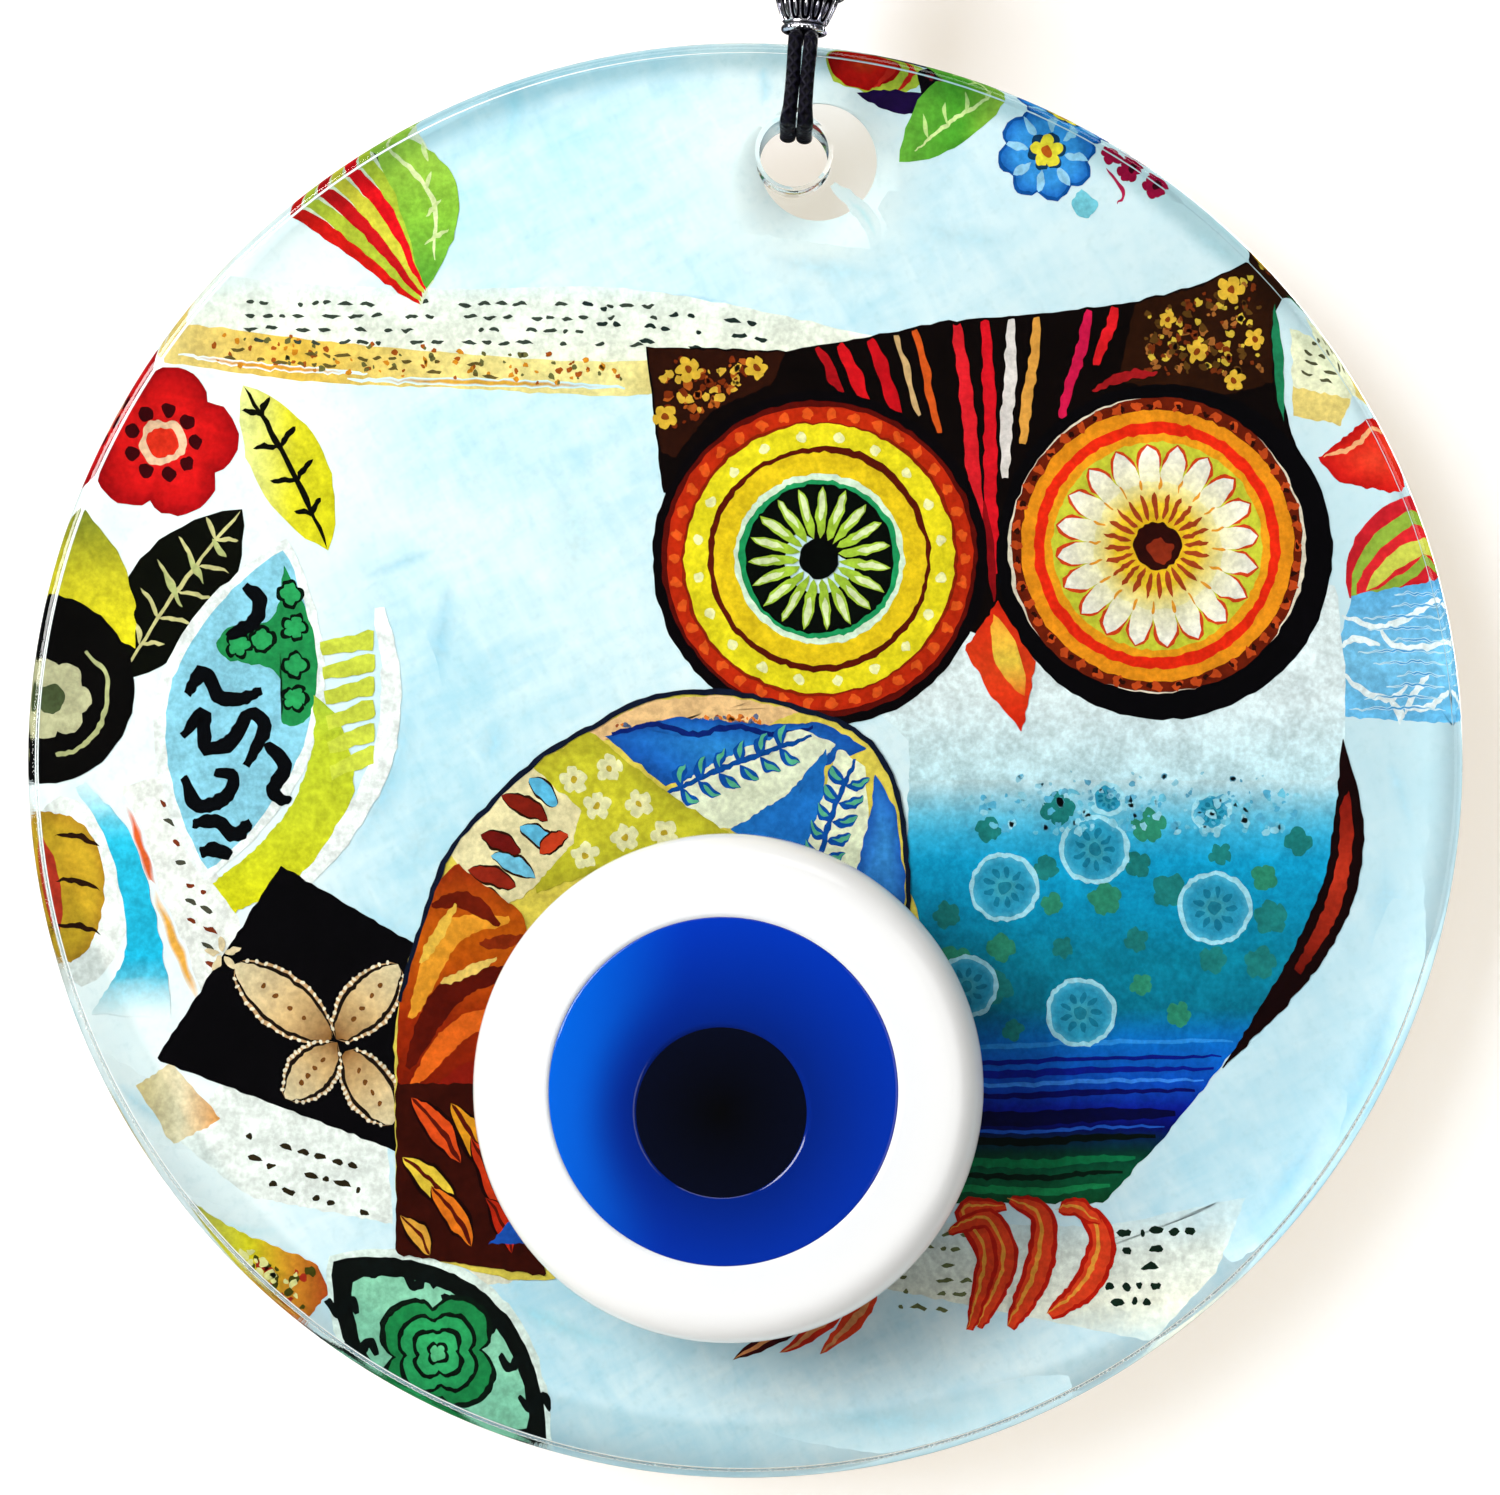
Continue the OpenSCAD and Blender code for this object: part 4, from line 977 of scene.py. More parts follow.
lay("print_owl_eyes", disc_at(right_eye, 2.4, uneven=0.03), "#2c0a06")
lay("print_owl_eyes", disc_at(right_eye + [0.35, -0.5], 1.25, uneven=0.2), "#8c2c14")
lay("print_owl_beak", cut([(25.6, 16), (22.2, 11.1), (25, 6.4), (28, 3.0), (28.8, 6.4), (29.3, 10)], (26.4, 10)), shade_by(1, [(3, "#e0260e"), (9, "#e8421a"), (16, "#c8200c")]))
lay("print_owl_beak", lens((25.2, 14.6), (28.2, 6.4), 1.3, -0.2), shade_by(1, [(6, "#f0641c"), (10, "#f8d24a"), (15, "#f49a2c")]))

# %% Claws
for points, width in (([(26.4, -45), (22.4, -45.4), (24.6, -50), (22.8, -57.4)], 2.6), ([(20.6, -47.6), (24.6, -46.2), (26.4, -50.4), (23.8, -57.2)], 2.4),
                      ([(26.8, -44.2), (30, -46), (29.6, -51.4), (26.8, -57.2)], 3.0), ([(33.6, -44.4), (36, -48), (34.6, -52.6), (30.8, -56)], 3.0), ([(31.6, -45.4), (33.6, -45), (35.8, -46.6)], 2.0)):
    lay("print_claws", stroke(points, width, 0.5), "#c41c0c")
    lay("print_claws", stroke(points, width * 0.66, 0.6), "#ee4420")
    lay("print_claws", stroke(np.array(points) + [-0.3, 0.15], width * 0.15, 0.8), "#f4a03a")
for tip, foot, ink in (((-1.2, -60.4), (8.6, -53.6), "#3c0a0c"), ((3.6, -59.8), (12, -52.6), "#d42a14"), ((7.6, -59.8), (14, -52), "#e8401c")):
    lay("print_claws", lens(foot, tip, 0.95, 0.5), ink)
    lay("print_claws", lens(foot, tip, 0.3, 0.5), "#e8945a")

# %% Wing
ARCH = [(-35, -49.5), (-35.2, -36), (-34.8, -24.3), (-31, -12.1), (-27.9, -7), (-20.8, 0.1), (-14.7, 3.7), (-9.7, 6.2), (-2.5, 6.9), (5.6, 5.2), (11.7, 2.6), (15.3, -2.9), (16.5, -12.1), (16.4, -20)]
lay("print_wing", cut(ARCH + [(0, -40), (-18, -52)], (-8, -24), smooth=True, count=200), "#e3cf52")
lay("print_wing", cut([(-17, 2.2), (-9.7, 6), (-2.5, 6.6), (5.6, 5), (2, 3.4), (-6, 4.2), (-12, 2)], (-4, 4.8)), "#f1c48a")
specks("print_wing", [(-14, 3.4), (4, 5), (2, 3.6), (-10, 3.2)], 26, (0.12, 0.3), ["#a4522c", "#e07a2c", "#5c6a8c"])
lay("print_wing", cut([(-14, 2.4), (-7, 4.4), (2, 3.6), (8, 3.8), (12.4, 1.2), (6, -1.4), (-2, -1), (-8, -2.6)], (-2, 1.4)), radial([(0, "#2f8fe0"), (0.7, "#1f6cc8"), (1, "#174ea4")]))
lay("print_wing", stroke([(-13.4, 2.6), (-9, 3.6), (-5, 2.6), (-1, 3.4), (3, 2.6), (7, 3.2)], 0.6, 0.2), "#0c2474")
lay("print_wing", cut([(-9.6, -4.6), (-5, -1.4), (0, 1.2), (5.6, 3.2), (9.4, 1.6), (4.4, -3.4), (-1.4, -7)], (0, -2)), "#edf3d4")
lay("print_wing", cut([(-1.4, -7), (4.4, -3.4), (8.4, 1.2), (7.4, -9), (4, -10.6)], (4.4, -6)), "#1f72c8")
lay("print_wing", cut([(5.6, -11), (8.4, -2), (9.6, 1.2), (12.2, -0.6), (12.6, -6), (10.6, -14.6)], (9.6, -7)), "#eef4d0")
lay("print_wing", cut([(10.6, -14.6), (12.8, -5), (13.2, -1.4), (15.2, -4.6), (16.2, -12), (16, -19)], (14.2, -9)), radial([(0, "#3f9ae8"), (1, "#1f5cb8")]))
for foot, tip, pairs in (((-8.4, -3.6), (6.8, 2.4), 6), ((7.2, -11.4), (11.2, 0.2), 5)):
    foot, tip = np.array(foot), np.array(tip)
    way = unit(tip - foot)
    square = np.array([-way[1], way[0]])
    lay("print_wing", stroke([foot, 0.5 * (foot + tip) + 0.3 * square, tip], 0.6, 0.3), "#0c4a9c")
    for k in range(pairs):
        root = foot + (tip - foot) * (0.12 + 0.8 * k / pairs)
        for side in (-1, 1):
            point = root + 1.5 * way + side * 2.1 * square
            lay("print_wing", lens(root, point, 0.6, side * 0.3), "#0f4fa8")
            lay("print_wing", lens(root + 0.25 * (point - root), point, 0.24, side * 0.3), "#57b48c")
lay("print_wing", cut([(-22.6, -1.4), (-15.6, 3), (-8.4, -2.8), (-1.4, -7.4), (-4, -12), (-14, -11), (-21, -13.4)], (-13, -5)), radial([(0, "#ddd432"), (0.7, "#d2cc30"), (1, "#b8b02c")]))
for u, v in ((-17.2, -2), (-13.6, -0.8), (-14.8, -4.6), (-10.6, -4.4), (-18.4, -6.2), (-12, -7.8), (-8, -7.4), (-16, -9.6)):
    lay("print_wing", lobed((u, v), 1.45, 5, 0.4, u), "#f2edb4")
    lay("print_wing", disc_at((u, v), 0.36, count=10), "#c4a82c")
lay("print_wing", cut([(-29.6, -9.4), (-27.6, -6.6), (-21.4, -0.6), (-16.4, -5), (-17.4, -8.6), (-22.4, -14), (-26.4, -15)], (-22.6, -8)), "#efe2b0")
MARKS = [((-26.6, -7.4), (-22.6, -9.4), "#6e1410"), ((-24.4, -3.6), (-19.8, -6), "#7c1c10"), ((-27.8, -11), (-23, -12.8), "#8c2414"), ((-21.6, -1.8), (-19, -4.6), "#5cb8e0"),
         ((-22.6, -6.6), (-18.8, -9.2), "#62bce2"), ((-25.4, -9.6), (-21, -11.8), "#74c4e4"), ((-28.4, -13.6), (-24.4, -14.2), "#3c7c9c"), ((-20.6, -9.4), (-17.8, -7.4), "#c43c1c")]
for tip, end, ink in MARKS:
    lay("print_wing", lens(tip, end, 1.05, 0.2, 0.6), "#2c1408")
    lay("print_wing", lens(tip, end, 0.8, 0.2, 0.6), ink)
lay("print_wing", cut([(-35.1, -34), (-34.8, -24.3), (-31.4, -12.6), (-29, -10.4), (-22.4, -15.4), (-20, -24), (-22, -36)], (-28, -24)), shade_by(1, [(-35, "#6c1004"), (-26, "#a42c08"), (-18, "#d0600c"), (-11, "#962c0c")]))
FIRE = [([(-33.6, -26), (-29.6, -17.6), (-23.6, -16)], 2.4, "#f2a02c"), ([(-34, -31), (-29.6, -23.4), (-22.6, -21)], 2.6, "#5c1206"), ([(-33.6, -33), (-28.4, -27), (-22, -25.4)], 2.2, "#ee6a1c"),
        ([(-31.6, -14.6), (-28, -14.2), (-24.6, -16.6)], 1.8, "#6c1a08"), ([(-32.6, -20.4), (-29, -14.6)], 1.2, "#f4c24a"), ([(-32.6, -35), (-27.6, -31.6), (-22, -31)], 2.2, "#8c1a0c"),
        ([(-26.6, -18.6), (-22, -18)], 1.4, "#8c2c0c"), ([(-30.6, -22.6), (-25, -20)], 1.0, "#f8d06a")]
for points, width, ink in FIRE:
    lay("print_wing", stroke(points if len(points) > 2 else [points[0], np.mean(points, 0), points[1]], width), ink)
lay("print_wing", cut([(-35.1, -32.6), (-24, -32.6), (-20, -52), (-35.1, -49.8)], (-28.4, -41)), "#380d05")
for tip, end, half, ink in (((-33.6, -34), (-28.6, -40.6), 1.5, "#e8501a"), ((-29.6, -34.6), (-25.6, -42), 1.5, "#f0a020"), ((-34.4, -40), (-29, -45.6), 1.6, "#f4d040"), ((-27.6, -38), (-24, -46.8), 1.3, "#d83a14"),
                            ((-31.6, -43), (-27.4, -49), 1.4, "#ee7a1c"), ((-34.6, -46), (-31.6, -50), 1.2, "#e8a83c"), ((-26, -44), (-23.4, -49.6), 1.1, "#c42a10")):
    lay("print_wing", lens(tip, end, half, 0.4), "#1c0503")
    lay("print_wing", lens(tip, end, half * 0.74, 0.4), ink)
    lay("print_wing", lens(tip, end, half * 0.16, 0.4, 0.3), "#5c1408")
lay("print_wing", cut([(-25.6, -48.8), (-22.6, -45.4), (-20.6, -48.6)]), "#1b50b0")
lay("print_wing", stroke(ARCH[2:], 0.55, 0.1, 90), "#10182c")

# %% [markdown]
# ### From scraps to film
# Each group of scraps becomes one thin mesh. A point (u, v) of the picture is turned by the same
# few degrees as the plaque hangs, and kept inside the rim. The ink is one material: it mixes the
# point's own paint over the same sky wash that the film shows, and brush noise decides where thin
# paint gives way to the wash.

# %% Sky wash


def brushed(tree, vector, turn, squeeze, size):
    """Noise drawn out into strokes: the plane is turned first and then squeezed across the stroke."""
    turned = add(tree, "Mapping", Vector=vector, Rotation=(0, turn, 0)).outputs[0]
    return noise(tree, add(tree, "Mapping", Vector=turned, Scale=(1, 1, squeeze)).outputs[0], size, 5, 0.62, 0.4)


def wash_group():
    """Object coordinates in. Color is the bare film, a pale sky brushed at two slants, greyer up on the right and
    whiter on the left. Brush is the strokes' noise. The third output is painted shade: how deep a point lies in a
    grey band along the rim, where the rim's corner keeps light off the print, broad at the bottom left, narrow
    at the top, and gone on the right."""
    group, enter, leave = new_group("sky_wash", {"Place": ("Vector", None)}, {"Color": ("Color", None), "Brush": ("Float", None), "Edge": ("Float", None)})
    place = enter.outputs["Place"]
    centred = add(group, "Mapping", Vector=place, Location=(0, 0, -float(CENTRE[2]))).outputs[0]
    x, _, z = (add(group, "SeparateXYZ", Vector=centred).outputs[k] for k in range(3))
    brushes = [brushed(group, centred, 0.55, 4, 120), brushed(group, centred, -1.0, 3, 170)]
    clouds = noise(group, centred, 24, 2, 0.5, 0.6)
    grain = noise(group, centred, 1100, 3, 0.65)
    tone = maths(group, "ADD", maths(group, "MULTIPLY", brushes[0], 0.34), maths(group, "MULTIPLY", brushes[1], 0.3))
    tone = maths(group, "ADD", tone, maths(group, "MULTIPLY", clouds, 0.5))
    sky = add(group, "ValToRGB", _0=spread(group, tone, 0.3, 0.86))
    ramp = sky.color_ramp
    for at, text in ((0.0, "#f0fdff"), (0.35, "#dcf5fa"), (0.7, "#c9ecf5"), (1.0, "#a8dcf0")):
        stop = ramp.elements[0] if at == 0 else ramp.elements[1] if at == 1 else ramp.elements.new(at)
        stop.position, stop.color = at, colour(text)
    grey = maths(group, "MULTIPLY", spread(group, x, -5 * MM, 50 * MM), spread(group, z, -60 * MM, 10 * MM))
    made = blend_colours(group, maths(group, "MULTIPLY", grey, 0.7), sky.outputs[0], colour("#c6dfe6"))
    made = blend_colours(group, spread(group, x, -34 * MM, -50 * MM, 0.0, 0.65), made, colour("#f8fcfa"))
    near = add(group, "VectorMath", {"operation": "DISTANCE"}, _0=centred, _1=(2 * MM, BACK, 60 * MM)).outputs["Value"]
    made = blend_colours(group, spread(group, near, 15 * MM, 6 * MM, 0.0, 0.7), made, colour("#e2ecea"))
    made = blend_colours(group, maths(group, "MULTIPLY", spread(group, grain, 0.5, 0.72), 0.16), made, colour("#9fc3cc"))
    rim = maths(group, "SQRT", maths(group, "ADD", maths(group, "MULTIPLY", x, x), maths(group, "MULTIPLY", z, z)))
    # The rim band is painted shade: the rim's corner would keep light off the outer few mm of the print.
    lean = maths(group, "ADD", maths(group, "MULTIPLY", x, 4.5), maths(group, "MULTIPLY", z, 12.5))
    width = spread(group, lean, -0.3, -0.75, 0.0, 4.8 * MM)
    low_rim_shade = spread(group, maths(group, "ADD", rim, width), 71.9 * MM, 73.2 * MM)
    low_rim_shade = maths(group, "MULTIPLY", low_rim_shade, spread(group, lean, -0.3, -0.6, 0.0, 0.36))
    top_rim_shade = maths(group, "MULTIPLY", spread(group, rim, 69.4 * MM, 71.8 * MM), spread(group, z, 35 * MM, 62 * MM, 0.0, 0.75))
    group.links.new(made, leave.inputs["Color"])
    group.links.new(maths(group, "ADD", maths(group, "MULTIPLY", brushes[0], 0.6), maths(group, "MULTIPLY", grain, 0.35)), leave.inputs["Brush"])
    group.links.new(maths(group, "MAXIMUM", low_rim_shade, top_rim_shade), leave.inputs["Edge"])
    return group


sky_wash = wash_group()
PRINT_FINISH = dict(Roughness=0.6, Specular_IOR_Level=0.0)
INK = 0.76


def under_glass(tree, wash, paint):
    """Paint darkened in the rim's band by painted shade, and mixed darker all over than it has to look, because the
    room is bright.
    """
    rim_shaded = blend_colours(tree, wash.outputs["Edge"], paint, colour("#b9ccd0"), "MULTIPLY")
    return add(tree, "VectorMath", {"operation": "SCALE"}, _0=rim_shaded, Scale=INK).outputs[0]


def film_material():
    material, tree, shader = new_material("printed_film", **PRINT_FINISH)
    wash = place_group(tree, sky_wash, Place=add(tree, "TexCoord").outputs["Object"])
    tree.links.new(under_glass(tree, wash, wash.outputs["Color"]), shader.inputs["Base Color"])
    return material


def ink_material():
    material, tree, shader = new_material("collage_ink", **PRINT_FINISH)
    place = add(tree, "TexCoord").outputs["Object"]
    wash = place_group(tree, sky_wash, Place=place)
    paint = add(tree, "Attribute", {"attribute_name": "paint", "attribute_type": "GEOMETRY"})
    grain = noise(tree, place, 1500, 4, 0.62)
    blotch = noise(tree, place, 330, 3, 0.6, 0.5)
    uneven = maths(tree, "ADD", spread(tree, grain, 0.3, 0.75, 0.82, 1.12), spread(tree, blotch, 0.35, 0.7, -0.16, 0.1))
    rubbed = add(tree, "VectorMath", {"operation": "SCALE"}, _0=paint.outputs["Color"], Scale=uneven).outputs[0]
    thin = maths(tree, "MULTIPLY", maths(tree, "SUBTRACT", 1.0, paint.outputs["Alpha"]), 1.9)
    gone = maths(tree, "MULTIPLY", wash.outputs["Brush"], thin)
    mask = maths(tree, "SUBTRACT", maths(tree, "MULTIPLY", paint.outputs["Alpha"], 1.4), gone, True)
    mixed = blend_colours(tree, mask, wash.outputs["Color"], rubbed)
    tree.links.new(under_glass(tree, wash, mixed), shader.inputs["Base Color"])
    return material


# %% Film
film_hole = HOLE + np.array([2.5 * MM, 0])
FILM_HOLE_R = 6 * MM
stations = face_rings(FILM_R, FILM_HOLE_R, FILM_FRONT, steps=24) + face_rings(FILM_R, FILM_HOLE_R, FILM_BACK, back=True, steps=24)
film = pierced("print_sky", stations, film_hole, film_material())
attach(film, "plaque")
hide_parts("print_film")


def frayed(grid):
    """Every scrap shares one fine warp, a sum of waves 0.8 to 4 mm long, so that no edge is machine straight."""
    waves = np.random.default_rng(3)
    shift = np.zeros_like(grid)
    for size in np.geomspace(0.8, 4, 9):
        way = waves.uniform(0, 2 * np.pi, 3)
        phase = (grid @ np.array([np.cos(way[0]), np.sin(way[0])])) * 2 * np.pi / size + way[1]
        shift += 0.045 * np.sin(phase)[..., None] * np.array([np.cos(way[2]), np.sin(way[2])])
    return grid + shift


def on_plaque(grid):
    """(u, v) in mm to (x, z) in metres from the plaque's middle, pulled back to the film's edge where it runs over."""
    grid = frayed(grid)
    turned = SPREAD * (grid @ np.array([[math.cos(TILT), math.sin(TILT)], [-math.sin(TILT), math.cos(TILT)]])) + [SHIFT, 0]
    reach = np.linalg.norm(turned, axis=-1, keepdims=True) * MM
    return turned * MM * np.minimum(1, (FILM_R - 0.05 * MM) / np.maximum(reach, 1e-9))


def print_piece(name, pieces, material):
    """One mesh from many painted grids, all facing the viewer, with their paint as a colour attribute."""
    points, faces, paint, start = [], [], [], 0
    for grid, colours, level in pieces:
        flat = on_plaque(grid)
        rows, columns = flat.shape[:2]
        depth = np.full((rows, columns, 1), FILM_FRONT - level * LIFT)
        points.append(np.concatenate([flat[..., :1], depth, flat[..., 1:] + CENTRE[2]], -1).reshape(-1, 3))
        quads = grid_faces(rows, columns, start=0)
        a, b, c, d = (flat.reshape(-1, 2)[quads[:, k]] for k in range(4))
        one, other = c - a, d - b
        area = (one[:, 0] * other[:, 1] - one[:, 1] * other[:, 0]) / 2
        quads = quads[:, ::-1] if area.sum() < 0 else quads
        faces.append(start + quads[np.abs(area) > 1e-11])
        paint.append(colours.reshape(-1, 4))
        start += rows * columns
    points, faces, paint = (np.concatenate(parts) for parts in (points, faces, paint))
    used, faces = np.unique(faces, return_inverse=True)
    mesh = bpy.data.meshes.new(name)
    mesh.from_pydata(points[used], [], faces.reshape(-1, 4))
    mesh.validate()
    layer = mesh.color_attributes.new("paint", "FLOAT_COLOR", "POINT")
    layer.data.foreach_set("color", paint[used].astype(np.float32).ravel())
    mesh.update()
    mesh.materials.append(material)
    piece = bpy.data.objects.new(name, mesh)
    bpy.context.scene.collection.objects.link(piece)
    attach(piece, "plaque")
    return len(mesh.polygons)


ink = ink_material()
total = sum(print_piece(name, pieces, ink) for name, pieces in scraps.items())
print(f"{len(covers)} lays in {len(scraps)} prints, {max(cover[2] for cover in covers)} deep, {total} faces")

# %% Coat
# The back is sealed with white paint rolled over the film, so its edge stands a hair proud of it.
COAT_R, COAT_ROUND = 72.42 * MM, 0.1 * MM
coat_low, coat_high = (corner_of[1] for corner_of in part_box("back_coat"))


def coat_material():
    material, tree, shader = new_material("rolled_white_coat", Specular_IOR_Level=0.4)
    place = object_place(tree)
    rolled = noise(tree, place, 620, 4, 0.55, 0.3)
    streak = noise(tree, object_place(tree, (1, 1, 0.12)), 160, 3, 0.6)
    dust = spread(tree, noise(tree, place, 90, 5, 0.7), 0.52, 0.78)
    tint = blend_colours(tree, dust, colour("#f3f2ee"), colour("#e2ded4"))
    tree.links.new(tint, shader.inputs["Base Color"])
    tree.links.new(spread(tree, streak, 0.3, 0.7, 0.42, 0.66), shader.inputs["Roughness"])
    height = maths(tree, "ADD", rolled, maths(tree, "MULTIPLY", streak, 0.6))
    tree.links.new(bump(tree, height, 0.4, 0.12 * MM), shader.inputs["Normal"])
    return material


def coat_rings(grow, depth):
    """Radius changes by grow at both edges of the coat."""
    return [(share, radius, depth) for share, radius, depth in face_rings(COAT_R + grow, FILM_HOLE_R - grow, depth, steps=24)]


stations = coat_rings(0, coat_low + 0.002 * MM)
stations += coat_rings(0, coat_high - COAT_ROUND)[-1:]
stations += coat_rings(-COAT_ROUND * 0.3, coat_high - 0.03 * MM)[-1:]
stations += coat_rings(-COAT_ROUND, coat_high)[::-1]
stations += coat_rings(-COAT_ROUND * 0.3, coat_high - 0.03 * MM)[:1]
stations += coat_rings(0, coat_high - COAT_ROUND)[:1]
coat = pierced("white_coat", stations, film_hole, coat_material())
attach(coat, "plaque")
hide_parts("back_coat")

# %% [markdown]
# ## The glass eye
# The eye is poured: a white pebble, a cobalt drop on it, and a black drop on that, all still hot,
# so every edge is round and a little out of true. Each drop is a set of rings with its own middle,
# because the pupil isn't in the middle of the blue, and each ring's edge wavers a little.

# %% Eye shapes
eye_low, eye_high = (np.array(corner_of) for corner_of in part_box("eye_white"))
EYE = np.array([(eye_low[0] + eye_high[0]) / 2, (eye_low[2] + eye_high[2]) / 2])
EYE_R, LEDGE, BEHIND = (eye_high[0] - eye_low[0]) / 2, eye_low[1], eye_high[1]
blue_low, blue_high = (np.array(corner_of) for corner_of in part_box("eye_blue"))
BLUE = np.array([(blue_low[0] + blue_high[0]) / 2, (blue_low[2] + blue_high[2]) / 2])
BLUE_R, BLUE_TOP, BLUE_FOOT = (blue_high[0] - blue_low[0]) / 2, blue_low[1], blue_high[1]
black_low, black_high = (np.array(corner_of) for corner_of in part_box("eye_pupil"))
BLACK = np.array([(black_low[0] + black_high[0]) / 2, (black_low[2] + black_high[2]) / 2])
BLACK_R, BLACK_TOP, BLACK_FOOT = (black_high[0] - black_low[0]) / 2, black_low[1], black_high[1]
DROP = 0.02 * MM


def poured(name, rings, material, columns=200, seed=2):
    """A closed drop. A ring is (middle, radius, depth, waver): its radius is radius x (1 + waver x slow waves), and
    depth is a number, or a function of x and z."""
    a = np.linspace(0, 2 * np.pi, columns + 1)
    wave = wobble(a, 1.0, seed) - 1
    points = []
    for middle, radius, depth, waver in rings:
        x = middle[0] + radius * (1 + waver * wave) * np.cos(a)
        z = middle[1] + radius * (1 + waver * wave) * np.sin(a)
        y = depth(x, z) if callable(depth) else np.full(len(a), depth)
        points.append(np.stack([x, y, z], -1))
    piece = make_mesh(name, np.array(points), grid_faces(len(rings), columns + 1), material)
    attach(piece, "plaque")
    return piece


def rounded(middle, outer, depth, reach, width, steps=8, waver=0.0):
    """Rings over a quarter-round shoulder: out at outer and depth, in at outer - width and depth - reach."""
    turn = np.radians(np.linspace(0, 90, steps))
    return [(middle, outer - width * (1 - np.cos(t)), depth - reach * np.sin(t), waver) for t in turn]


def flat_rings(middle, first, last, depth, steps, waver=0.0):
    return [(middle, r, depth, waver) for r in np.linspace(first, last, steps)]


WAVER = 0.004
white_rings = flat_rings(EYE, 0, EYE_R - 1.2 * MM, BEHIND, 6, WAVER)
white_rings += [(EYE, EYE_R - 1.2 * MM * (1 - np.sin(t)), BEHIND - 1.2 * MM * (1 - np.cos(t)), WAVER) for t in np.radians([30, 60, 80])]
white_rings += rounded(EYE, EYE_R, BEHIND - 2.6 * MM, BEHIND - 2.6 * MM - LEDGE, 3.6 * MM, 16, WAVER)
for share in np.linspace(0.15, 1, 8):
    white_rings.append((EYE + share * (BLUE - EYE), EYE_R - 3.6 * MM + share * (BLUE_R + DROP - EYE_R + 3.6 * MM), LEDGE, WAVER * (1 - 0.4 * share)))
white_rings += [(BLUE, BLUE_R + DROP, BLUE_FOOT + DROP, WAVER * 0.6)] + flat_rings(BLUE, BLUE_R * 0.6, 0, BLUE_FOOT + DROP, 3)


def blue_dome(x, z):
    """The blue drop's front: LEDGE up to BLUE_TOP as (1 - far^2)^0.75, which leaves the white without a step."""
    far = np.hypot(x - BLUE[0], z - BLUE[1]) / (BLUE_R * 1.012)
    return LEDGE - (LEDGE - BLUE_TOP) * np.clip(1 - far**2, 0, 1) ** 0.75


def black_dome(x, z):
    """The black drop's front: the blue's, and 0.3 mm (1 - far^2) prouder, so that the two flow into each other."""
    far = np.hypot(x - BLACK[0], z - BLACK[1]) / (BLACK_R + 0.05 * MM)
    return blue_dome(x, z) - 0.3 * MM * (1 - far**2)


blue_rings = [(BLUE, 0, BLUE_FOOT, 0), (BLUE, BLUE_R, BLUE_FOOT, WAVER * 0.6), (BLUE, BLUE_R, LEDGE, WAVER * 0.6)]
blue_rings += [(BLUE, BLUE_R * r, blue_dome, WAVER * 0.6) for r in (0.995, 0.985, 0.965, 0.94, 0.9)]
for share in np.linspace(0, 1, 14)[1:]:
    blue_rings.append((BLUE + share * (BLACK - BLUE), BLUE_R * 0.9 + share * (BLACK_R + DROP - BLUE_R * 0.9), blue_dome, WAVER))
blue_rings += [(BLACK, BLACK_R + DROP, BLACK_FOOT + DROP, WAVER), (BLACK, 0, BLACK_FOOT + DROP, 0)]
black_rings = [(BLACK, 0, BLACK_FOOT, 0), (BLACK, BLACK_R, BLACK_FOOT, WAVER), (BLACK, BLACK_R + 0.07 * MM, black_dome, WAVER)]
black_rings += [(BLACK, BLACK_R * r, black_dome, WAVER) for r in (1.006, 1, 0.98, 0.94, 0.88, 0.8, 0.7, 0.6, 0.5, 0.4, 0.3, 0.2, 0.1, 0)]


# %% Poured glass finishes


def pour_group():
    """How far a point lies from a middle in the plane of the wall, with slow swirls and fine seeds in the glass."""
    group, enter, leave = new_group("poured_glass", {"Middle": ("Vector", None), "Swirl": ("Float", 0.3)}, {"Far": ("Float", None), "Swirl": ("Float", None), "Height": ("Float", None)})
    place = add(group, "TexCoord").outputs["Object"]
    offset = add(group, "VectorMath", {"operation": "SUBTRACT"}, _0=place, _1=enter.outputs["Middle"]).outputs[0]
    flat = add(group, "VectorMath", {"operation": "MULTIPLY"}, _0=offset, _1=(1, 0, 1)).outputs[0]
    far = add(group, "VectorMath", {"operation": "LENGTH"}, _0=flat).outputs["Value"]
    slow = noise(group, place, 55, 2, 0.5, 1.2)
    seeds = add(group, "TexVoronoi", Vector=place, Scale=420.0).outputs["Distance"]
    pits = spread(group, seeds, 0.1, 0.03)
    swirl = maths(group, "MULTIPLY", maths(group, "SUBTRACT", slow, 0.5), enter.outputs["Swirl"])
    height = maths(group, "SUBTRACT", noise(group, place, 120, 1, 0.4), maths(group, "MULTIPLY", pits, 0.25))
    for socket, value in (("Far", far), ("Swirl", swirl), ("Height", height)):
        group.links.new(value, leave.inputs[socket])
    return group


pour = pour_group()


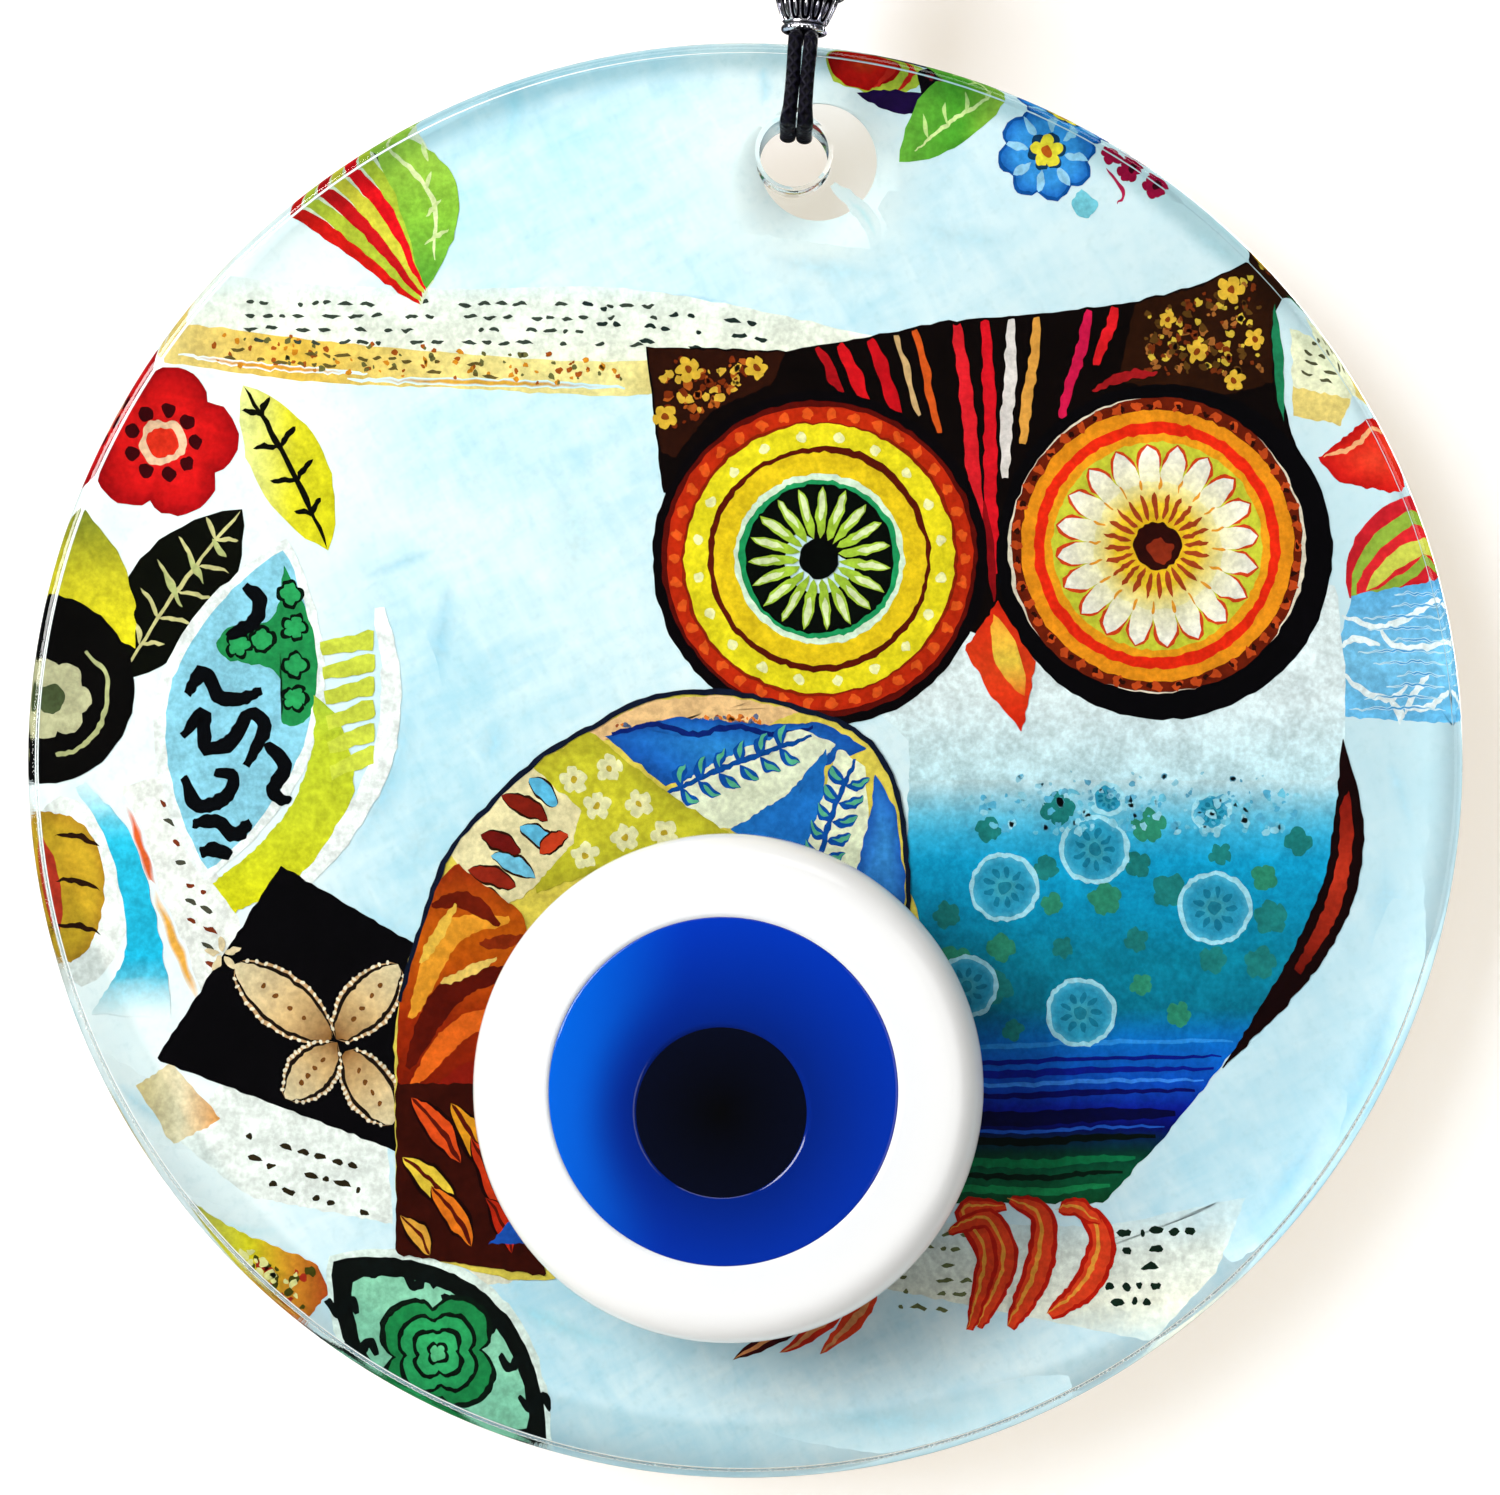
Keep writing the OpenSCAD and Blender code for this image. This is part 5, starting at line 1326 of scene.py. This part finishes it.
def drop_material(name, middle, swirl, edges, gloss, left=None):
    """edges is [(distance from the middle, colour)] rising, gloss the roughness, and left a lighter colour that is
    painted light on the outer left of the drop, as if lit from the left.
    """
    material, tree, shader = new_material(name, Roughness=gloss, IOR=1.52)
    poured_in = place_group(tree, pour, Middle=(middle[0], 0.0, middle[1]), Swirl=swirl)
    outer = edges[-1][0]
    at = maths(tree, "ADD", maths(tree, "DIVIDE", poured_in.outputs["Far"], float(outer)), poured_in.outputs["Swirl"])
    ramp = add(tree, "ValToRGB", _0=at)
    stops = ramp.color_ramp.elements
    for k, (far, text) in enumerate(edges):
        stop = stops[0] if k == 0 else stops[1] if k == len(edges) - 1 else stops.new(far / outer)
        stop.position, stop.color = far / outer, colour(text)
    tint = ramp.outputs[0]
    if left:
        # Painted light: the outer left of the drop is mixed towards the lighter colour given as left.
        x = add(tree, "SeparateXYZ", Vector=add(tree, "TexCoord").outputs["Object"]).outputs[0]
        side = maths(tree, "MULTIPLY", spread(tree, x, -3 * MM, -17 * MM), spread(tree, poured_in.outputs["Far"], 9 * MM, 15 * MM))
        tint = blend_colours(tree, side, tint, colour(left))
    tree.links.new(tint, shader.inputs["Base Color"])
    tree.links.new(bump(tree, poured_in.outputs["Height"], 0.12, 0.15 * MM), shader.inputs["Normal"])
    return material


# %% Eye pieces
white_look = drop_material("poured_white", BLUE, 0.01, [(0, "#dfe8f6"), (BLUE_R, "#cfdcf2"), (BLUE_R + 0.35 * MM, "#f8f9fa"), (EYE_R, "#f7f7f5"), (EYE_R + 2 * MM, "#f4f3f0")], 0.06)
# The blue drop's #005cd2 is painted light on its outer left side.
blue_look = drop_material("poured_cobalt", BLACK, 0.05, [(0, "#010208"), (BLACK_R + 0.1 * MM, "#01062c"), (BLACK_R + 0.7 * MM, "#001c92"), (BLACK_R + 2.5 * MM, "#0022a6"), (BLUE_R, "#0028ae"), (BLUE_R + 3 * MM, "#0034b8")], 0.07, "#005cd2")
black_look = drop_material("poured_black", BLACK, 0.1, [(0, "#020203"), (BLACK_R * 0.9, "#030308"), (BLACK_R, "#04081c"), (BLACK_R * 1.1, "#04081c")], 0.05)
for name, rings, look, node, slot in (("eye_white_glass", white_rings, white_look, "eye_white", "white_glass"), ("eye_blue_glass", blue_rings, blue_look, "eye_blue", "blue_glass"),
                                      ("eye_black_glass", black_rings, black_look, "eye_pupil", "black_glass")):
    piece = poured(name, rings, look)
    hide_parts(node)

# the thin bed of clear glue keeps its own shape, and only gets its finish
glue_look, tree, shader = new_material("clear_glue", Roughness=0.35, IOR=1.48, Specular_IOR_Level=0.5)
cloudy = spread(tree, noise(tree, object_place(tree), 240, 3, 0.6), 0.35, 0.7)
tree.links.new(blend_colours(tree, cloudy, colour("#dfe6e6"), colour("#c3cecf")), shader.inputs["Base Color"])
for slot in bpy.data.objects["eye_glue"].material_slots:
    slot.material = glue_look

# %% [markdown]
# ## The bead and its caps
# The caps are cast in silver-coloured metal, blackened, and polished again, so the hollows stay
# dark and the high edges shine. One surface carries it all: a profile turned round the stem, pushed
# in for the flutes and out for the petals and pearls by formulas in the angle and the height. How
# deep a point lies is kept as the second number of its UV map, and the finish darkens with it.

# %% Fluted caps
FLUTES = 14
CAP_PROFILE = np.array([[1.85, 0.05], [1.95, 0.0], [2.12, 0.02], [2.28, 0.14], [2.34, 0.34], [2.3, 0.56], [2.18, 0.7], [2.05, 0.8], [2.06, 0.92], [2.24, 1.04], [2.36, 1.2], [2.5, 1.5],
                        [2.66, 1.9], [2.82, 2.3], [2.98, 2.7], [3.12, 3.1], [3.2, 3.34], [3.12, 3.46], [3.12, 3.56], [3.32, 3.7], [3.52, 3.9], [3.64, 4.1], [3.74, 4.3], [3.8, 4.46],
                        [3.74, 4.56], [3.6, 4.5], [3.26, 4.1], [2.9, 3.5], [2.6, 2.8], [2.2, 2.2], [1.9, 1.85], [1.84, 1.5], [1.84, 0.8], [1.85, 0.05]])
cap_low, cap_high = (corner_of[2] for corner_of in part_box("lower_cap"))


def cap_surface(columns=336, rows=150):
    """Radius r(z) of the profile, less 0.34 mm in each flute (an upright oval window), plus 0.28 mm for the drop that
    stands in it and 0.32 mm for the pearl over it. The angle is counted in flutes, from -1 to 1 across one."""
    run = even(through(CAP_PROFILE, 900), rows)
    r, z = run[:, :1], run[:, 1:]
    a = np.linspace(0, 2 * np.pi, columns + 1)[None]
    local = 2 * ((a * FLUTES / (2 * np.pi)) % 1) - 1
    outside = (np.arange(rows) < rows * 0.6)[:, None]
    high = (z - 2.28) / 1.1
    window = np.clip(1.25 - np.sqrt((local / 0.78) ** 4 + high**4), 0, 0.25) / 0.25 * outside
    drop = np.sqrt(np.clip(1 - (local / 0.42) ** 2 - ((z - 2.2) / 0.86) ** 2, 0, 1)) * outside
    pearl = np.sqrt(np.clip(1 - (local / 0.86) ** 2 - ((z - 4.0) / 0.5) ** 2, 0, 1)) * outside
    beaded = np.sqrt(np.clip(1 - ((2 * ((a * 22 / (2 * np.pi)) % 1) - 1) / 0.9) ** 2, 0, 1)) * np.clip(1 - ((z - 0.36) / 0.34) ** 2, 0, 1) * outside
    reach = r - 0.34 * window + 0.28 * drop + 0.32 * pearl + 0.05 * beaded
    scallop = 0.16 * np.abs(np.sin(a * FLUTES / 2)) * np.clip((z - 3.9) / 0.6, 0, 1)
    hollow = np.clip(window * 1.1 - drop * 1.6, 0, 1) + np.clip(1 - np.abs(z - 0.86) / 0.16, 0, 1) + np.clip(1 - np.abs(z - 3.5) / 0.14, 0, 1)
    hollow = np.clip(hollow + (~outside) * 0.8 + np.clip((z - 3.6) / 0.4, 0, 1) * (1 - np.clip(pearl * 2.4, 0, 1)) * 0.75, 0, 1)
    points = np.stack([reach * np.cos(a), reach * np.sin(a), z - scallop + np.zeros_like(a)], -1) * MM
    return points, hollow


def silver_material():
    material, tree, shader = new_material("antique_silver", Metallic=1.0)
    deep = add(tree, "SeparateXYZ", Vector=add(tree, "UVMap").outputs[0]).outputs[1]
    place = object_place(tree)
    smudge = noise(tree, place, 1400, 4, 0.65)
    dark = spread(tree, maths(tree, "ADD", deep, maths(tree, "MULTIPLY", maths(tree, "SUBTRACT", smudge, 0.5), 0.5)), 0.28, 0.72)
    bright = blend_colours(tree, spread(tree, noise(tree, place, 500, 2, 0.5), 0.4, 0.65), colour("#f2f1f4"), colour("#c9c6dc"))
    tree.links.new(blend_colours(tree, dark, bright, colour("#0c0a12")), shader.inputs["Base Color"])
    tree.links.new(spread(tree, dark, 0.0, 1.0, 0.17, 0.55), shader.inputs["Roughness"])
    tree.links.new(bump(tree, smudge, 0.25, 0.05 * MM), shader.inputs["Normal"])
    return material


silver_look = silver_material()
cap_points, cap_hollow = cap_surface()
bead_low, bead_high = (corner_of[2] for corner_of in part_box("bead"))
BEAD_Z = (bead_low + bead_high) / 2
around = np.broadcast_to(np.linspace(0, 1, cap_hollow.shape[1]), cap_hollow.shape)
for node, flip in (("lower_cap", 1), ("upper_cap", -1)):
    placed = cap_points * [1, flip, flip] + [0, 0, cap_low if flip == 1 else 2 * BEAD_Z - cap_low]
    depth_map = np.stack([around, cap_hollow], -1)
    cap = make_mesh(node + "_silver", placed, grid_faces(*cap_hollow.shape)[:, ::-1], silver_look, depth_map)
    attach(cap, node)
    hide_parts(node)

# %% Bead
BEAD_R, BORE = 5.0 * MM, 1.85 * MM


def bead_rings(steps=60):
    """Out and back along a ball with a bore: height BEAD_R sin t, radius BEAD_R cos t, with the mouths rounded over."""
    mouth = np.arccos(BORE / BEAD_R)
    t = np.linspace(-mouth + 0.05, mouth - 0.05, steps)
    ball = np.stack([BEAD_R * np.cos(t), BEAD_R * np.sin(t)], -1)
    lip = np.array([[BORE + 0.12 * MM, 4.6 * MM], [BORE, 4.45 * MM]])
    return np.vstack([lip[::-1] * [1, -1], ball, lip, [[BORE, 0]], lip[-1:] * [1, -1]])


def bead_material():
    material, tree, shader = new_material("dark_bead", Roughness=0.08, IOR=1.55)
    band = add(tree, "TexWave", {"wave_type": "BANDS", "bands_direction": "Z"}, Vector=object_place(tree), Scale=150.0, Distortion=9.0, Detail=3.0, Detail_Scale=1.4).outputs["Fac"]
    cloud = noise(tree, object_place(tree), 300, 4, 0.6, 1.0)
    tint = blend_colours(tree, spread(tree, band, 0.35, 0.9), colour("#07040f"), colour("#1c1046"))
    tint = blend_colours(tree, spread(tree, cloud, 0.55, 0.75), tint, colour("#3a0f3c"))
    tree.links.new(tint, shader.inputs["Base Color"])
    tree.links.new(spread(tree, cloud, 0.3, 0.8, 0.06, 0.2), shader.inputs["Roughness"])
    return material


profile = bead_rings()
a = np.linspace(0, 2 * np.pi, 121)[None]
points = np.stack([profile[:, :1] * np.cos(a), profile[:, :1] * np.sin(a), BEAD_Z + profile[:, 1:] + np.zeros_like(a)], -1)
bead = make_mesh("bead_glass", points, grid_faces(len(profile), 121)[:, ::-1], bead_material())
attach(bead, "bead")
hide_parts("bead")
